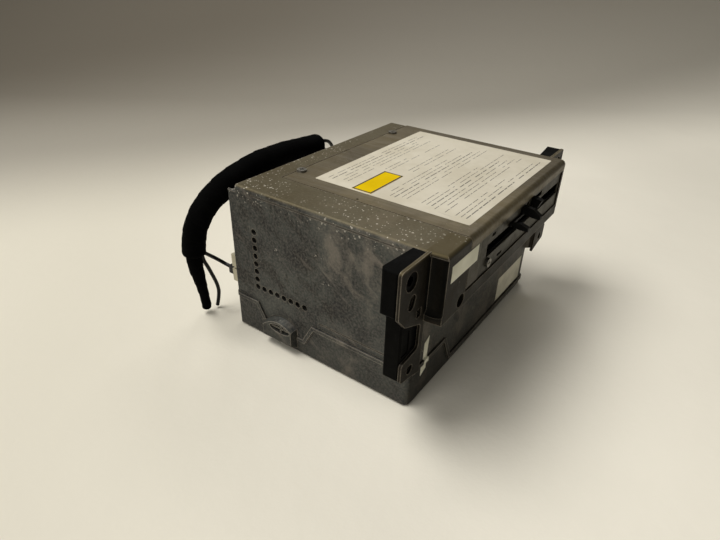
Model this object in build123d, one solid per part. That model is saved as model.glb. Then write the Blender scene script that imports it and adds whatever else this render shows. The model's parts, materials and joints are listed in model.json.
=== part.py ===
from build123d import *
import math
import os

os.makedirs("parts", exist_ok=True)

# All sizes are millimetres. +X runs along the front, -Y is the front, +Z is up.
# Depths are counted back from the plane of the mounting ears.

# Case
case_width = 180.0
case_height = 108.5
case_depth = 147.0
rear_step = 9.0
front_step = 10.0
lower_setback = 5.0
front_split_drop = 41.5
wall = 2.5
base_floor = 2.0
foot_height = 1.0
foot_radius = 5.0
foot_inset = 16.0
corner_radius = 4.0
deck_edge_radius = 2.2
floor_edge = 0.8
rear_notch = 5.0
seam = 0.5
fit_gap = 0.3
touch = 0.05

# Parting between the upper casting and the base, as depth and height
split_high = 27.5
split_low = 13.5
split_ramp_front = (77.4, 85.2)
split_ramp_rear = 124.5
bead_width = 2.6
bead_out = 1.4
front_split_low = 8.0
front_ramp = (42.0, 52.0)
right_ramp = (30.0, 38.0)

# Arched boss on the left of the base
boss_setback = 91.0
boss_length = 27.0
boss_bulge = 5.5
boss_face_bottom = 7.2
boss_root = 3.5
boss_top = 22.9
boss_fall = 7.1
boss_peak_share = 0.43
boss_draft_share = 0.07
boss_end_slope = 0.8
boss_slot_half = (8.7, 3.1)
boss_slot_share = 0.4
boss_slot_drop = 6.2
boss_bar = 1.2

# Top deck opening, steel cover and its screws
rim_left = 27.0
rim_rear = 13.7
cover_thickness = 1.1
cover_gap = 0.7
cover_lip_drop = 7.1
cover_bend = 3.5
cover_tab_width = 13.0
cover_tab_drop = 31.5
shelf = 3.0
cover_screw_inset = (16.9, 26.0)
cover_screw_setback = 2.9
cover_screw_count = 2
cover_screw_head_radius = 3.3
cover_screw_head = 1.3
pin_hole_radius = 0.9
pin_hole_at = (30.0, 66.0)

# Upper front section
lip_height = 8.0
lip_depth = 3.5
scoop_radius = 14.0
scoop_width = 1.1
scoop_depth = 2.9
scoop_drop = 38.5
scoop_round = 5.0
front_hole_at = (22.4, 36.3)
front_hole_radius = 4.2

# Mounting ears, as outward distance and distance below the top; tabs as height
ear_thickness = 1.8
ear_reach = 26.2
ear_drop = 27.0
ear_knee = (19.2, 35.0)
ear_root_drop = 42.0
strip_width = 2.7
tab_height = 14.5
tab_reach = 19.5
tab_above_split = 6.5
tab_slope = 2.0
tab_root_drop = 3.0
ear_round = 2.4
ear_hole_at = (16.0, 9.2)
ear_hole_radius = 5.4
oval_at = (14.0, 22.5)
oval_radius = 3.0
oval_length = 3.0
oval_tilt = 20.0
slot_hole_at = (5.8, 33.0)
slot_hole_size = (4.6, 5.2)
tab_hole_at = (10.5, 6.5)
tab_hole_radius = 3.0

# Plastic guide blocks behind the ears
block_depth = 10.2
block_slant = 2.3
block_split_drop = 27.6
block_lower_reach = 19.2
block_edge = 1.0
block_round = 1.8
block_top_gap = 0.5
block_bottom_gap = 3.0
bush_setback = 1.0
block_bore_radius = 2.75
block_rib = 1.6
block_rib_depth = 0.6
block_rib_count = 2

# Side vents
vent_radius = 2.15
vent_pitch = 5.83
vent_column = 124.5
vent_row_z = 39.0
vent_count = 8
groove_depth = 0.6
groove_width = 0.9
groove_rise = 4.0
groove_run = (23.0, 72.0)
top_groove_drop = 4.2
top_groove_gap = 6.0

# Disc drive
slot_from_left = 52.5
slot_from_right = 4.5
slot_clear = 5.0
disc_drop = 19.4
plate_setback = 1.0
plate_thickness = 1.0
plate_left = 42.0
plate_slot_height = 8.8
plate_windows = ((60.5, 8.2, 5.0, 2.2), (74.5, -10.6, 7.0, 2.0),
                 (113.0, 8.7, 4.0, 2.4), (133.0, 8.1, 12.0, 3.4))
plate_screw_at = (13.5, 6.0)
felt_thickness = 1.6
felt_lap = 2.2
claw_x = (85.5, 106.6)
claw_reach = 10.7
claw_top = 5.3
claw_low_top = 1.6
claw_flat = 5.2
claw_tip_height = 2.3
claw_tip_drop = 1.0
claw_thickness = 3.2
claw_bar_height = 1.4
claw_bar_thickness = 1.5
claw_bar_overhang = 3.0
claw_root_width = 7.0
end_claw_x = 120.8
end_claw_reach = 5.8
end_claw_top = 6.9
end_claw_thickness = 4.0
sheet = 1.2
chassis_left = 30.5
chassis_front = -3.0
chassis_gap = 5.8
chassis_floor_drop = 38.5
chassis_top_drop = 7.5
disc_setback = 57.0

# Turntable, clamp and pickup
table_radius = 14.0
table_height = 2.0
hub_radius = 7.2
hub_height = 1.5
spindle_motor_radius = 11.0
motor_stud = 0.6
spindle_radius = 1.0
bearing_gap = 0.05
clamp_radius = 13.0
clamp_height = 2.4
clamp_neck_radius = 4.5
clamp_neck_gap = 0.1
clamp_cap_radius = 7.0
clamp_cap_height = 1.2
clamp_float = 0.6
arm_width = 22.0
arm_pin_radius = 1.5
arm_pin_inset = 9.0
arm_pin_length = 34.0
arm_lug = 4.0
arm_pin_rise = 2.0
rod_radius = 1.5
rod_spread = 15.0
rod_rise = 7.0
rod_wall_gap = 3.5
rod_hub_gap = 13.0
rod_post = 3.0
sled_length = 22.0
sled_inner = 24.0
sled_height = 6.0
sled_side = 4.0
lens_radius = 3.5
lens_height = 2.0
sled_end_gap = 7.0
screw_spread = 25.0
sled_motor_length = 16.0
sled_motor_radius = 5.0
nut_side = 3.0

# Disc feed roller and its gears
roller_setback = 6.0
roller_shaft_radius = 1.5
roller_radius = 4.2
roller_end_gap = 1.5
gear_module = 0.6
gear_face = 3.0
gear_wall_gap = 7.5
roller_teeth = 20
idler_teeth = 24
pinion_teeth = 12
pinion_drop = -19.0
tooth_share = 0.40
load_motor_radius = 6.0
load_motor_length = 20.0

# Carrier plate, dampers and hard drive
carrier_drop = 8.0
carrier_front = 12.0
carrier_gap = 2.8
carrier_screw_inset = (10.0, 30.0)
carrier_window = (16.0, 40.0)
carrier_window_inset = (28.0, 98.0, 20.0)
ledge = 6.0
ledge_drop = 4.0
damper_radius = 4.5
damper_inset = (12.0, 12.0)
disk_width = 69.9
disk_length = 100.0
disk_height = 9.5
disk_drop = 13.5
disk_setback = 40.0
bracket_gap = 1.5
grommet_radius = 3.0
grommet_height = 2.5

# Boards
board_thickness = 1.6
board_z = 12.0
board_margin = 12.0
board_front = 16.0
board_rear_gap = 5.8
post_radius = 3.5
post_inset = 8.0
can_wall = 0.6
can_height = 7.0
can_edge = 5.5
can_chip_gap = (7.0, 9.0, 19.0)
can_rows = ((30.0, 60.0), (27.0, 53.0), (60.0, 96.0))
can_row_gap = 7.0
chip_side = 27.0
chip_height = 2.2
pad_height = 0.8
sink_side = 44.0
sink_base = 2.5
sink_height = 16.0
sink_fins = 9
sink_fin = 1.3
capacitor_radius = 4.0
capacitor_height = 11.0
capacitor_count = 6
capacitor_pitch = 11.0
capacitor_gap = 15.8
chip_x = -5.0
chip_setback = 62.0

# Rear panel, fan and connectors
panel_setback = 4.0
panel_thickness = 1.2
socket_reach = 11.0
fan_side = 50.0
fan_depth = 15.0
fan_from_left = 66.0
fan_drop = 34.5
fan_bore = 23.5
fan_hub = 12.0
fan_blade_gap = 0.8
fan_blades = 7
fan_blade_pitch = 38.0
fan_blade_thickness = 1.4
fan_spokes = 3
guard_hole = 2.6
guard_pitch = 6.6
guard_rings = 3
header_width = 50.0
header_height = 24.0
header_right_gap = 31.0
header_wall = 2.0
header_inside = 20.0
header_cavity = 17.0
pin_side = 0.9
pin_rows = 3
pin_columns = 8
pin_pitch = 4.2
pin_length = 12.0
pin_root = 5.0
plug_tail = 14.0
plug_latch = 9.0
coax_side = 11.0
coax_pitch = 10.5
coax_from_left = 13.5
coax_low_z = 33.0
coax_bore_radius = 3.3
coax_bore_depth = 9.0
coax_plug_radius = 3.2
coax_plug_head = 3.0
coax_plug_tail = 7.0
tuner_depth = 32.0
tuner_width = 24.0
tuner_gap = 3.9
tuner_panel_gap = 3.0
tuner_from_left = 14.0
tuner_lift = 10.0

# Labels, as distance from the left and depth, or height
label_thickness = 0.15
label_left = 39.4
label_right_gap = 8.0
label_front = -2.1
label_rear_gap = 17.9
label_round = 1.0
patch_left = 41.0
patch_width = 37.0
patch_front = 64.0
patch_depth = 14.5
sticker_left = 6.3
sticker_width = 30.9
sticker_drop = 17.5
sticker_height = 10.0
seal_left = 13.5
seal_width = 6.0
seal_bottom = 15.5
seal_height = 27.0
badge_right_gap = 9.0
badge_width = 45.0
badge_bottom = 9.5
badge_height = 19.5

# Fasteners
screw_radius = 1.5
screw_head_radius = 2.9
screw_head = 1.7
screw_recess = 0.9
base_screw_inset = 9.0
base_screw_seat = 2.2
screw_post_side = 9.0
panel_screw_drop = 14.5
panel_screw_gap = 10.0
cover_screw_length = 5.0
base_screw_length = 9.0
board_screw_length = 7.0
panel_screw_length = 5.0
fan_screw_length = 10.0
plate_screw_length = 4.0
screw_slot = 0.7

# Cable loom behind the case
trunk_diameter = 16.6
tail_diameter = 8.0
lead_diameter = 2.7
lead_spread = 4.0

# Places worked out from the sizes above
half_width = case_width / 2
front_reach = front_step + claw_reach
rear_reach = case_depth + socket_reach
ear_y = (front_reach - rear_reach) / 2
front_y = ear_y - front_step
lower_y = ear_y + lower_setback
rear_y = ear_y + case_depth
plate_y = front_y + plate_setback
floor_top = foot_height + base_floor
deck_depth = case_depth - rear_step
front_split_z = case_height - front_split_drop
tab_bottom = split_high + tab_above_split
tab_top = tab_bottom + tab_height
cover_lip_bottom = case_height - cover_lip_drop
disc_z = case_height - disc_drop
slot_width = case_width - slot_from_left - slot_from_right
disc_low = disc_z - slot_clear / 2
disc_high = disc_z + slot_clear / 2
lip_top = front_split_z + lip_height
cover_under = case_height - cover_thickness
opening_rear = deck_depth - rim_rear
panel_y = rear_y - panel_setback - panel_thickness
panel_top = case_height - rear_notch


def left(distance):
    return distance - half_width


def back(distance):
    return ear_y + distance


slot_x = left(slot_from_left + slot_width / 2)
disc_y = back(disc_setback)
fan_x = left(fan_from_left)
roller_y = back(roller_setback)
roller_z = disc_low - roller_radius
header_back = rear_y + socket_reach
header_x = half_width - header_right_gap - header_width / 2
coax_x = left(coax_from_left)
chassis_x0 = left(chassis_left)
chassis_x1 = half_width - wall - fit_gap
chassis_y0 = back(chassis_front)
chassis_y1 = panel_y - fan_depth - chassis_gap
chassis_floor_z = case_height - chassis_floor_drop
chassis_top = case_height - chassis_top_drop
arm_pin_y = chassis_y1 - arm_pin_inset
rod_z = chassis_floor_z + rod_rise
gear_x = chassis_x0 + gear_wall_gap
carrier_z = chassis_floor_z - carrier_drop
carrier_y0 = back(carrier_front)
carrier_y1 = panel_y - fan_depth - carrier_gap
disk_x = (chassis_x0 + chassis_x1) / 2
disk_z = carrier_z - disk_drop
fan_z = case_height - fan_drop
board_top = board_z + board_thickness
screw_axis_y = disc_y + screw_spread
header_z = board_top


def block(x0, x1, y0, y1, z0, z1):
    centre = Pos((x0 + x1) / 2, (y0 + y1) / 2, (z0 + z1) / 2)
    return centre * Box(x1 - x0, y1 - y0, z1 - z0)


def bar_x(x0, x1, y, z, radius):
    return Pos((x0 + x1) / 2, y, z) * Rot(0, 90, 0) * Cylinder(radius, x1 - x0)


def bar_y(x, y0, y1, z, radius):
    return Pos(x, (y0 + y1) / 2, z) * Rot(90, 0, 0) * Cylinder(radius, y1 - y0)


def bar_z(x, y, z0, z1, radius):
    return Pos(x, y, (z0 + z1) / 2) * Cylinder(radius, z1 - z0)


def slab_x(outline, x0, x1, radius=0.0):
    wire = FilletPolyline([(x0, y, z) for y, z in outline], radius=radius, close=True)
    return extrude(make_face(wire), amount=x1 - x0, dir=(1, 0, 0))


def slab_y(outline, y0, y1, radius=0.0):
    wire = FilletPolyline([(x, y0, z) for x, z in outline], radius=radius, close=True)
    return extrude(make_face(wire), amount=y1 - y0, dir=(0, 1, 0))


def slab_z(outline, z0, z1, radius=0.0):
    wire = FilletPolyline([(x, y, z0) for x, y in outline], radius=radius, close=True)
    return extrude(make_face(wire), amount=z1 - z0, dir=(0, 0, 1))


def rectangle(a0, a1, b0, b1):
    return [(a0, b0), (a1, b0), (a1, b1), (a0, b1)]


def mirrored(shape):
    return mirror(shape, about=Plane.YZ)


def save(name, *solids):
    shape = Compound(children=list(solids)) if len(solids) > 1 else solids[0]
    shape.label = name
    export_step(shape, f"parts/{name}.step")


# Casing


def boss_arch():
    """Top line of the arched boss, as depth and height."""
    steps = 8
    points = []
    for i in range(steps + 1):
        share = i / steps
        fall = boss_fall * ((share - boss_peak_share) / (1 - boss_peak_share)) ** 2
        points.append((boss_setback + boss_length * share, boss_top - fall))
    return points


def left_split():
    """Upper edge of the base's left wall, from the front to the back."""
    line = [(lower_setback - 1, split_high), (split_ramp_front[0], split_high)]
    line += [(split_ramp_front[1], split_low), (boss_setback - boss_end_slope, split_low)]
    line += boss_arch()
    line += [(split_ramp_rear, split_high), (case_depth + 1, split_high)]
    return line


def right_split():
    line = [(lower_setback - 1, front_split_low), (right_ramp[0], front_split_low)]
    line += [(right_ramp[1], split_high), (case_depth + 1, split_high)]
    return line


def front_split():
    line = [(-1, split_high), (front_ramp[0], split_high)]
    line += [(front_ramp[1], front_split_low), (case_width + 1, front_split_low)]
    return line


def below(line, raise_by):
    """Outline of everything under a parting line."""
    lifted = [(a, z + raise_by) for a, z in line]
    return lifted + [(line[-1][0], -1), (line[0][0], -1)]


def bead_outline(line):
    """Band of even width along the lower side of a parting line."""
    inner = []
    for i, (a, z) in enumerate(line):
        before = line[max(i - 1, 0)]
        after = line[min(i + 1, len(line) - 1)]
        first = math.atan2(z - before[1], a - before[0]) if i else None
        second = math.atan2(after[1] - z, after[0] - a) if i < len(line) - 1 else first
        first = second if first is None else first
        middle = (first + second) / 2
        reach = bead_width / math.cos((second - first) / 2)
        inner.append((a + reach * math.sin(middle), z - reach * math.cos(middle)))
    return line + inner[::-1]


def beads():
    """Raised rims that run along the base's upper edges."""
    line = left_split()
    reach = half_width + bead_out
    inner = half_width - wall
    solid = Part()
    for part in (line[:4], line[-3:]):
        outline = [(back(d), z) for d, z in bead_outline(part)]
        solid += slab_x(outline, -reach, -inner)
    outline = [(back(d), z) for d, z in bead_outline(right_split())]
    solid += slab_x(outline, inner, reach)
    outline = [(left(d), z) for d, z in bead_outline(front_split())]
    solid += slab_y(outline, lower_y - bead_out, lower_y + wall)
    space = block(-reach, reach, lower_y - bead_out, rear_y, 0, case_height)
    space = fillet(space.edges().filter_by(Axis.Z), corner_radius + bead_out)
    return solid & space


def base_zone(raise_by):
    """The space that belongs to the base, walls only."""
    inner = half_width - wall - touch
    side = [(back(d), z) for d, z in below(left_split(), raise_by)]
    other = [(back(d), z) for d, z in below(right_split(), raise_by)]
    front = [(left(d), z) for d, z in below(front_split(), raise_by)]
    zone = slab_x(side, -half_width - boss_bulge - 1, -inner)
    zone += slab_x(other, inner, half_width + 1)
    zone += slab_y(front, lower_y - 1, lower_y + wall + touch)
    return zone


def case_block():
    """Outer form of the case before it is hollowed."""
    lower = block(-half_width, half_width, lower_y, rear_y, foot_height, case_height)
    lower = fillet(lower.edges().filter_by(Axis.Z), corner_radius)
    upper = block(-half_width, half_width, front_y, lower_y + 2 * corner_radius,
                  front_split_z, case_height)
    corner = [(-half_width, ear_y), (-half_width, front_y), (left(scoop_width), front_y)]
    cut = slab_z(corner, front_split_z - 1, case_height + 1)
    body = lower + upper - cut
    top_edges = body.edges().group_by(Axis.Z)[-1]
    body = fillet(top_edges, deck_edge_radius)
    body -= block(-half_width - 1, half_width + 1, back(deck_depth), rear_y + 1,
                  panel_top, case_height + 1)
    return body


def scoop():
    """Shallow rounded hollow between an ear and the upper front section."""
    x = left(scoop_depth) - scoop_radius
    y = (front_y + ear_y) / 2
    pocket = bar_z(x, y, case_height - scoop_drop, cover_under - 1, scoop_radius)
    pocket = fillet(pocket.edges().group_by(Axis.Z)[0], scoop_round)
    reach = scoop_radius + half_width
    return pocket & block(-2 * reach, 0, front_y - scoop_radius, ear_y, 0, case_height)


def case_hollow():
    inner = half_width - wall
    hollow = block(-inner, inner, lower_y + wall, rear_y + 1, -1, case_height - wall)
    nose = block(left(rim_left), inner, front_y + lip_depth, lower_y + wall + touch,
                 front_split_z + wall, case_height - wall)
    mouth = block(left(rim_left), inner, front_y - 1, front_y + lip_depth + touch,
                  lip_top, case_height + 1)
    cheek = block(left(scoop_depth + wall), left(rim_left - wall), front_y + wall,
                  lower_y + wall + touch, front_split_z + wall, case_height - wall)
    return hollow + nose + mouth + cheek


def cover_recess():
    """Opening of the deck for the steel cover, with its shelf."""
    edge = half_width + touch
    seat = block(left(rim_left), edge, front_y - 1, back(opening_rear),
                 cover_under, case_height + 1)
    hole = block(left(rim_left + shelf), half_width - wall, front_y + 2 * wall,
                 back(opening_rear - shelf), case_height - wall - 1, case_height + 1)
    lip = block(left(rim_left), edge, front_y - 1,
                front_y + cover_thickness + fit_gap, cover_lip_bottom - fit_gap, case_height + 1)
    bend = block(left(rim_left), edge, front_y - 1, front_y + cover_bend + fit_gap,
                 cover_under - cover_bend, case_height + 1)
    return seat + hole + lip + bend


def ear_outline():
    """Left ear, its strip and lower tab; outward is -X."""
    root = wall / 2
    knee_z = case_height - ear_knee[1]
    points = [(root, case_height), (-ear_reach, case_height), (-ear_reach, case_height - ear_drop)]
    points += [(-ear_knee[0], knee_z), (-strip_width, case_height - ear_root_drop)]
    points += [(-strip_width, tab_top + tab_slope), (-tab_reach, tab_top)]
    points += [(-tab_reach, tab_bottom + tab_slope), (-tab_reach / 2, tab_bottom)]
    points += [(root, tab_bottom - tab_root_drop)]
    radii = [0, ear_round, ear_round, ear_round, ear_round, ear_round, ear_round,
             ear_round, ear_round, 0]
    wire = FilletPolyline([(x - half_width, ear_y, z) for x, z in points],
                          radius=radii, close=True)
    return extrude(make_face(wire), amount=ear_thickness, dir=(0, 1, 0))


def ear_hole_place():
    return ear_hole_at[0], case_height - ear_hole_at[1]


def tab_hole_place():
    return tab_hole_at[0], tab_bottom + tab_hole_at[1]


def ear_holes():
    def through(x, z, radius):
        return bar_y(-half_width - x, ear_y - 1, ear_y + ear_thickness + 1, z, radius)

    x, z = ear_hole_place()
    holes = through(x, z, ear_hole_radius)
    x, z = tab_hole_place()
    holes += through(x, z, tab_hole_radius)
    oval = extrude(SlotCenterToCenter(oval_length, oval_radius * 2), amount=2 * ear_thickness,
                   both=True)
    x, drop = oval_at
    place = Pos(-half_width - x, ear_y, case_height - drop)
    holes += place * Rot(90, 0, 0) * Rot(0, 0, 90 - oval_tilt) * oval
    x, drop = slot_hole_at
    z = case_height - drop
    wide, tall = slot_hole_size
    holes += block(-half_width - x - wide / 2, -half_width - x + wide / 2, ear_y - 1,
                   ear_y + ear_thickness + 1, z - tall / 2, z + tall / 2)
    return holes


def vents():
    holes = Part()
    for i in range(vent_count):
        z = vent_row_z + i * vent_pitch
        holes += bar_x(-half_width - 1, -half_width + wall + 1, back(vent_column), z, vent_radius)
    for i in range(1, vent_count):
        y = back(vent_column - i * vent_pitch)
        holes += bar_x(-half_width - 1, -half_width + wall + 1, y, vent_row_z, vent_radius)
    return holes


def side_grooves():
    z = split_high + groove_rise
    x0 = -half_width - 1
    x1 = -half_width + groove_depth
    low = block(x0, x1, back(groove_run[0]), back(groove_run[1]), z, z + groove_width)
    z = case_height - top_groove_drop
    y0 = back(block_depth + top_groove_gap)
    high = block(x0, x1, y0, back(deck_depth - rim_rear), z, z + groove_width)
    return low + high


def base_screw_places():
    x = half_width - base_screw_inset
    front = lower_y + wall + base_screw_inset
    rear = panel_y - base_screw_inset
    return [(-x, front), (x, front), (-x, rear), (x, rear)]


def screw_post(x, y):
    """Square post for a screw from below, held to the side wall above the parting."""
    side = screw_post_side / 2
    outer = math.copysign(half_width - wall / 2, x)
    z0 = split_high + 2 * seam
    post = block(x - side, x + side - fit_gap, y - side, y + side, floor_top, z0)
    if x < 0:
        post = block(x - side + fit_gap, x + side, y - side, y + side, floor_top, z0)
    return post + block(min(x - side, outer), max(x + side, outer), y - side, y + side,
                        z0, z0 + 2 * wall)


def cover_screw_places():
    y = back(opening_rear - cover_screw_setback)
    first = rim_left + cover_screw_inset[0]
    step = (case_width - cover_screw_inset[1] - first) / (cover_screw_count - 1)
    return [(left(first + i * step), y) for i in range(cover_screw_count)]


def upper_housing():
    body = case_block() - case_hollow() - scoop() - base_zone(seam)
    body -= block(-half_width, half_width, lower_y - 1, rear_y + 1, 0, floor_top)
    ear = ear_outline()
    body += ear + mirrored(ear)
    inner = lower_y + wall
    slope = [(-half_width, ear_y), (-half_width, inner), (-half_width + inner - ear_y, inner)]
    gusset = slab_z(slope, tab_bottom, front_split_z + 1)
    body += gusset + mirrored(gusset)
    body -= cover_recess()
    holes = ear_holes()
    body -= holes + mirrored(holes)
    body -= vents() + side_grooves()
    for side in (-1, 1):
        inner = side * (half_width - wall / 2)
        edge = side * (half_width - wall - ledge)
        body += block(min(inner, edge), max(inner, edge), carrier_y0,
                      carrier_y1, carrier_z - ledge_drop, carrier_z)
    for x, y in carrier_screw_places():
        body -= bar_z(x, y, carrier_z - ledge_drop - 1, carrier_z + 1, screw_radius + bearing_gap)
    strip = block(-half_width + wall / 2, half_width - wall / 2,
                  back(deck_depth) - wall, back(deck_depth), panel_top - wall,
                  case_height - wall / 2)
    body += strip
    for x, y in base_screw_places():
        body += screw_post(x, y)
    for x, y in base_screw_places():
        body -= bar_z(x, y, floor_top - 1, split_high, screw_radius + bearing_gap)
    for x, y in cover_screw_places():
        body += bar_z(x, y, cover_under - 2 * wall, cover_under, screw_head_radius)
        body -= bar_z(x, y, cover_under - 2 * wall - 1, case_height, screw_radius + bearing_gap)
    for x, z in panel_screw_places():
        post = bar_y(x, panel_y - 2 * wall, panel_y, z, screw_head_radius)
        side = math.copysign(half_width - wall / 2, x)
        post += block(min(x, side), max(x, side), panel_y - 2 * wall, panel_y,
                      z - screw_head_radius, z + screw_head_radius)
        body += post
        body -= bar_y(x, panel_y - 2 * wall - 1, panel_y + 1, z, screw_radius + bearing_gap)
    x, drop = front_hole_at
    z = case_height - drop
    body -= bar_y(left(x), front_y - 1, front_y + lip_depth + 1, z, front_hole_radius)
    return body


def boss_face(share, x):
    """Side view of the boss, drawn in towards its foot by a share of its size."""
    middle = boss_setback + boss_length / 2
    ends = [(boss_setback + boss_length, boss_root), (boss_setback, boss_root)]
    points = []
    for depth, z in boss_arch() + ends:
        points.append((x, back(middle + (depth - middle) * share), boss_root + (z - boss_root) * share))
    return make_face(Polyline(points, close=True))


def base_boss():
    """Arched boss with some draft, sloped back to the wall at its foot."""
    face_x = -half_width - boss_bulge
    solid = loft([boss_face(1.0, -half_width + touch), boss_face(1 - boss_draft_share, face_x)],
                 ruled=True)
    profile = [(-half_width + wall, boss_top + 1), (face_x - 1, boss_top + 1),
               (face_x - 1, boss_face_bottom), (-half_width, boss_root), (-half_width + wall, boss_root)]
    return solid & slab_y(profile, back(boss_setback) - 1, back(boss_setback + boss_length) + 1)


def boss_slot_place():
    return back(boss_setback + boss_length * boss_slot_share), boss_top - boss_slot_drop


def boss_eye():
    """Eye-shaped opening through the boss and the wall."""
    half_long, half_tall = boss_slot_half
    y, z = boss_slot_place()
    front = Plane(origin=(-half_width - boss_bulge - 1, y, z), x_dir=(0, 1, 0), z_dir=(1, 0, 0))
    return extrude(front * Ellipse(half_long, half_tall), amount=boss_bulge + wall + 2, dir=(1, 0, 0))


def boss_cross():
    """Two thin bars across the opening, set back a little from the boss's face."""
    half_long, half_tall = boss_slot_half
    y, z = boss_slot_place()
    x0 = -half_width - boss_bulge + boss_bar
    half = boss_bar / 2
    bars = block(x0, -half_width, y - half_long, y + half_long, z - half, z + half)
    return bars + block(x0, -half_width, y - half, y + half, z - half_tall, z + half_tall)


def foot_places():
    x = half_width - foot_inset
    return [(sx * x, y) for sx in (-1, 1) for y in (lower_y + foot_inset, rear_y - foot_inset)]


def board_posts():
    x0, x1, y0, y1 = board_bounds()
    return [(x, y) for x in (x0 + post_inset, x1 - post_inset)
            for y in (y0 + post_inset, y1 - post_inset)]


def board_bounds():
    inner = half_width - wall - board_margin
    return -inner, inner, back(board_front), panel_y - board_rear_gap


def base_cover():
    walls = (case_block() - case_hollow()) & base_zone(0)
    floor = block(-half_width, half_width, lower_y, rear_y, foot_height, floor_top)
    floor = fillet(floor.edges().filter_by(Axis.Z), corner_radius)
    floor = chamfer(floor.edges().group_by(Axis.Z)[0], floor_edge)
    body = floor + walls + base_boss() + beads()
    body = body - boss_eye() + boss_cross()
    for x, y in foot_places():
        body += bar_z(x, y, 0, floor_top, foot_radius)
    for x, y in board_posts():
        body += bar_z(x, y, foot_height, board_z, post_radius)
        body -= bar_z(x, y, floor_top, board_z + 1, screw_radius + bearing_gap)
    for x, y in base_screw_places():
        body -= bar_z(x, y, -1, floor_top + 1, screw_radius + bearing_gap)
        body -= bar_z(x, y, -1, base_screw_seat, screw_head_radius + fit_gap)
    return body


def drive_cover():
    outer = [(back(opening_rear - cover_gap), cover_under), (back(opening_rear - cover_gap), case_height),
             (front_y, case_height), (front_y, cover_lip_bottom),
             (front_y + cover_thickness, cover_lip_bottom),
             (front_y + cover_thickness, cover_under)]
    radii = [0, 0, cover_bend, 0, 0, cover_bend - cover_thickness]
    x0 = left(rim_left + cover_gap)
    wire = FilletPolyline([(x0, y, z) for y, z in outer], radius=radii, close=True)
    body = extrude(make_face(wire), amount=half_width - x0, dir=(1, 0, 0))
    body += block(x0, x0 + cover_tab_width, front_y, front_y + cover_thickness,
                  case_height - cover_tab_drop, cover_lip_bottom + touch)
    x, y = pin_hole_at
    body -= bar_z(left(x), back(y), cover_under - 1, case_height + 1, pin_hole_radius)
    for x, y in cover_screw_places():
        body -= bar_z(x, y, cover_under - 1, case_height + 1, screw_radius + fit_gap)
    return body


def guide_block():
    """Left guide block: a wide upper part, a narrow ribbed lower part and a bush."""
    y0 = ear_y + ear_thickness
    y1 = y0 + block_depth
    x1 = -half_width
    split_z = case_height - block_split_drop
    plan = [(x1 - ear_reach + fit_gap, y0), (x1, y0), (x1, y1 - block_slant),
            (x1 - ear_reach + fit_gap, y1)]
    upper = slab_z(plan, split_z, case_height - block_top_gap)
    upper = fillet(upper.edges().group_by(Axis.X)[0], block_round)
    lower = block(x1 - block_lower_reach, x1, y0, y1, tab_bottom + block_bottom_gap, split_z)
    lower_edges = lower.edges().filter_by(Axis.Z).group_by(Axis.X)[0]
    lower = chamfer(lower_edges, block_edge)
    body = upper + lower
    pitch = (block_lower_reach - 2 * block_edge) / block_rib_count
    for i in range(block_rib_count):
        x = x1 - block_lower_reach + block_edge + (i + 0.5) * pitch
        body -= block(x - pitch / 2 + block_rib / 2, x + pitch / 2 - block_rib / 2,
                      y0 - 1, y0 + block_rib_depth, tab_top + 2 * block_rib,
                      case_height - ear_root_drop)
    x, z = ear_hole_place()
    body += bar_y(x1 - x, ear_y + bush_setback, y0, z, ear_hole_radius - fit_gap)
    body -= bar_y(x1 - x, ear_y - 1, y1 + 1, z, block_bore_radius)
    x, z = tab_hole_place()
    body -= bar_y(x1 - x, y0 - 1, y1 + 1, z, tab_hole_radius)
    return body


def panel_screw_places():
    x = half_width - wall - screw_post_side / 2
    heights = (coax_bounds()[3] + panel_screw_gap, case_height - panel_screw_drop)
    return [(sx * x, z) for sx in (-1, 1) for z in heights]


def header_bounds():
    x0 = header_x - header_width / 2
    return x0, x0 + header_width, header_z, header_z + header_height


def rear_panel():
    inner = half_width - wall - fit_gap
    body = block(-inner, inner, panel_y, panel_y + panel_thickness, floor_top, panel_top)
    body += block(-inner, inner, back(deck_depth) + fit_gap, panel_y + panel_thickness,
                  panel_top - panel_thickness, panel_top)
    spots = [(0.0, 0.0)]
    for ring in range(1, guard_rings + 1):
        for i in range(6 * ring):
            turn = math.tau * i / (6 * ring)
            spots.append((ring * guard_pitch * math.cos(turn), ring * guard_pitch * math.sin(turn)))
    for dx, dz in spots:
        body -= bar_y(fan_x + dx, panel_y - 1, panel_y + panel_thickness + 1, fan_z + dz, guard_hole)
    x0, x1, z0, z1 = header_bounds()
    body -= block(x0 - fit_gap, x1 + fit_gap, panel_y - 1, rear_y, z0 - fit_gap, z1 + fit_gap)
    x0, x1, z0, z1 = coax_bounds()
    body -= block(x0 - fit_gap, x1 + fit_gap, panel_y - 1, rear_y, z0 - fit_gap, z1 + fit_gap)
    for x, z in panel_screw_places() + fan_screw_places():
        body -= bar_y(x, panel_y - 1, panel_y + panel_thickness + 1, z, screw_radius + bearing_gap)
    return body


def coax_bounds():
    x0 = coax_x - coax_side / 2
    z0 = coax_low_z - coax_side / 2
    return x0, x0 + coax_side, z0, z0 + coax_side + coax_pitch


# Labels


def cover_label():
    outline = rectangle(left(label_left), half_width - label_right_gap,
                        back(label_front), back(opening_rear - label_rear_gap))
    return slab_z(outline, case_height, case_height + label_thickness, label_round)


def cover_patch():
    z = case_height + label_thickness
    outline = rectangle(left(patch_left), left(patch_left + patch_width),
                        back(patch_front), back(patch_front + patch_depth))
    return slab_z(outline, z, z + label_thickness, label_thickness)


def front_sticker():
    z = case_height - sticker_drop
    return block(left(sticker_left), left(sticker_left + sticker_width),
                 front_y - label_thickness, front_y, z, z + sticker_height)


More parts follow.
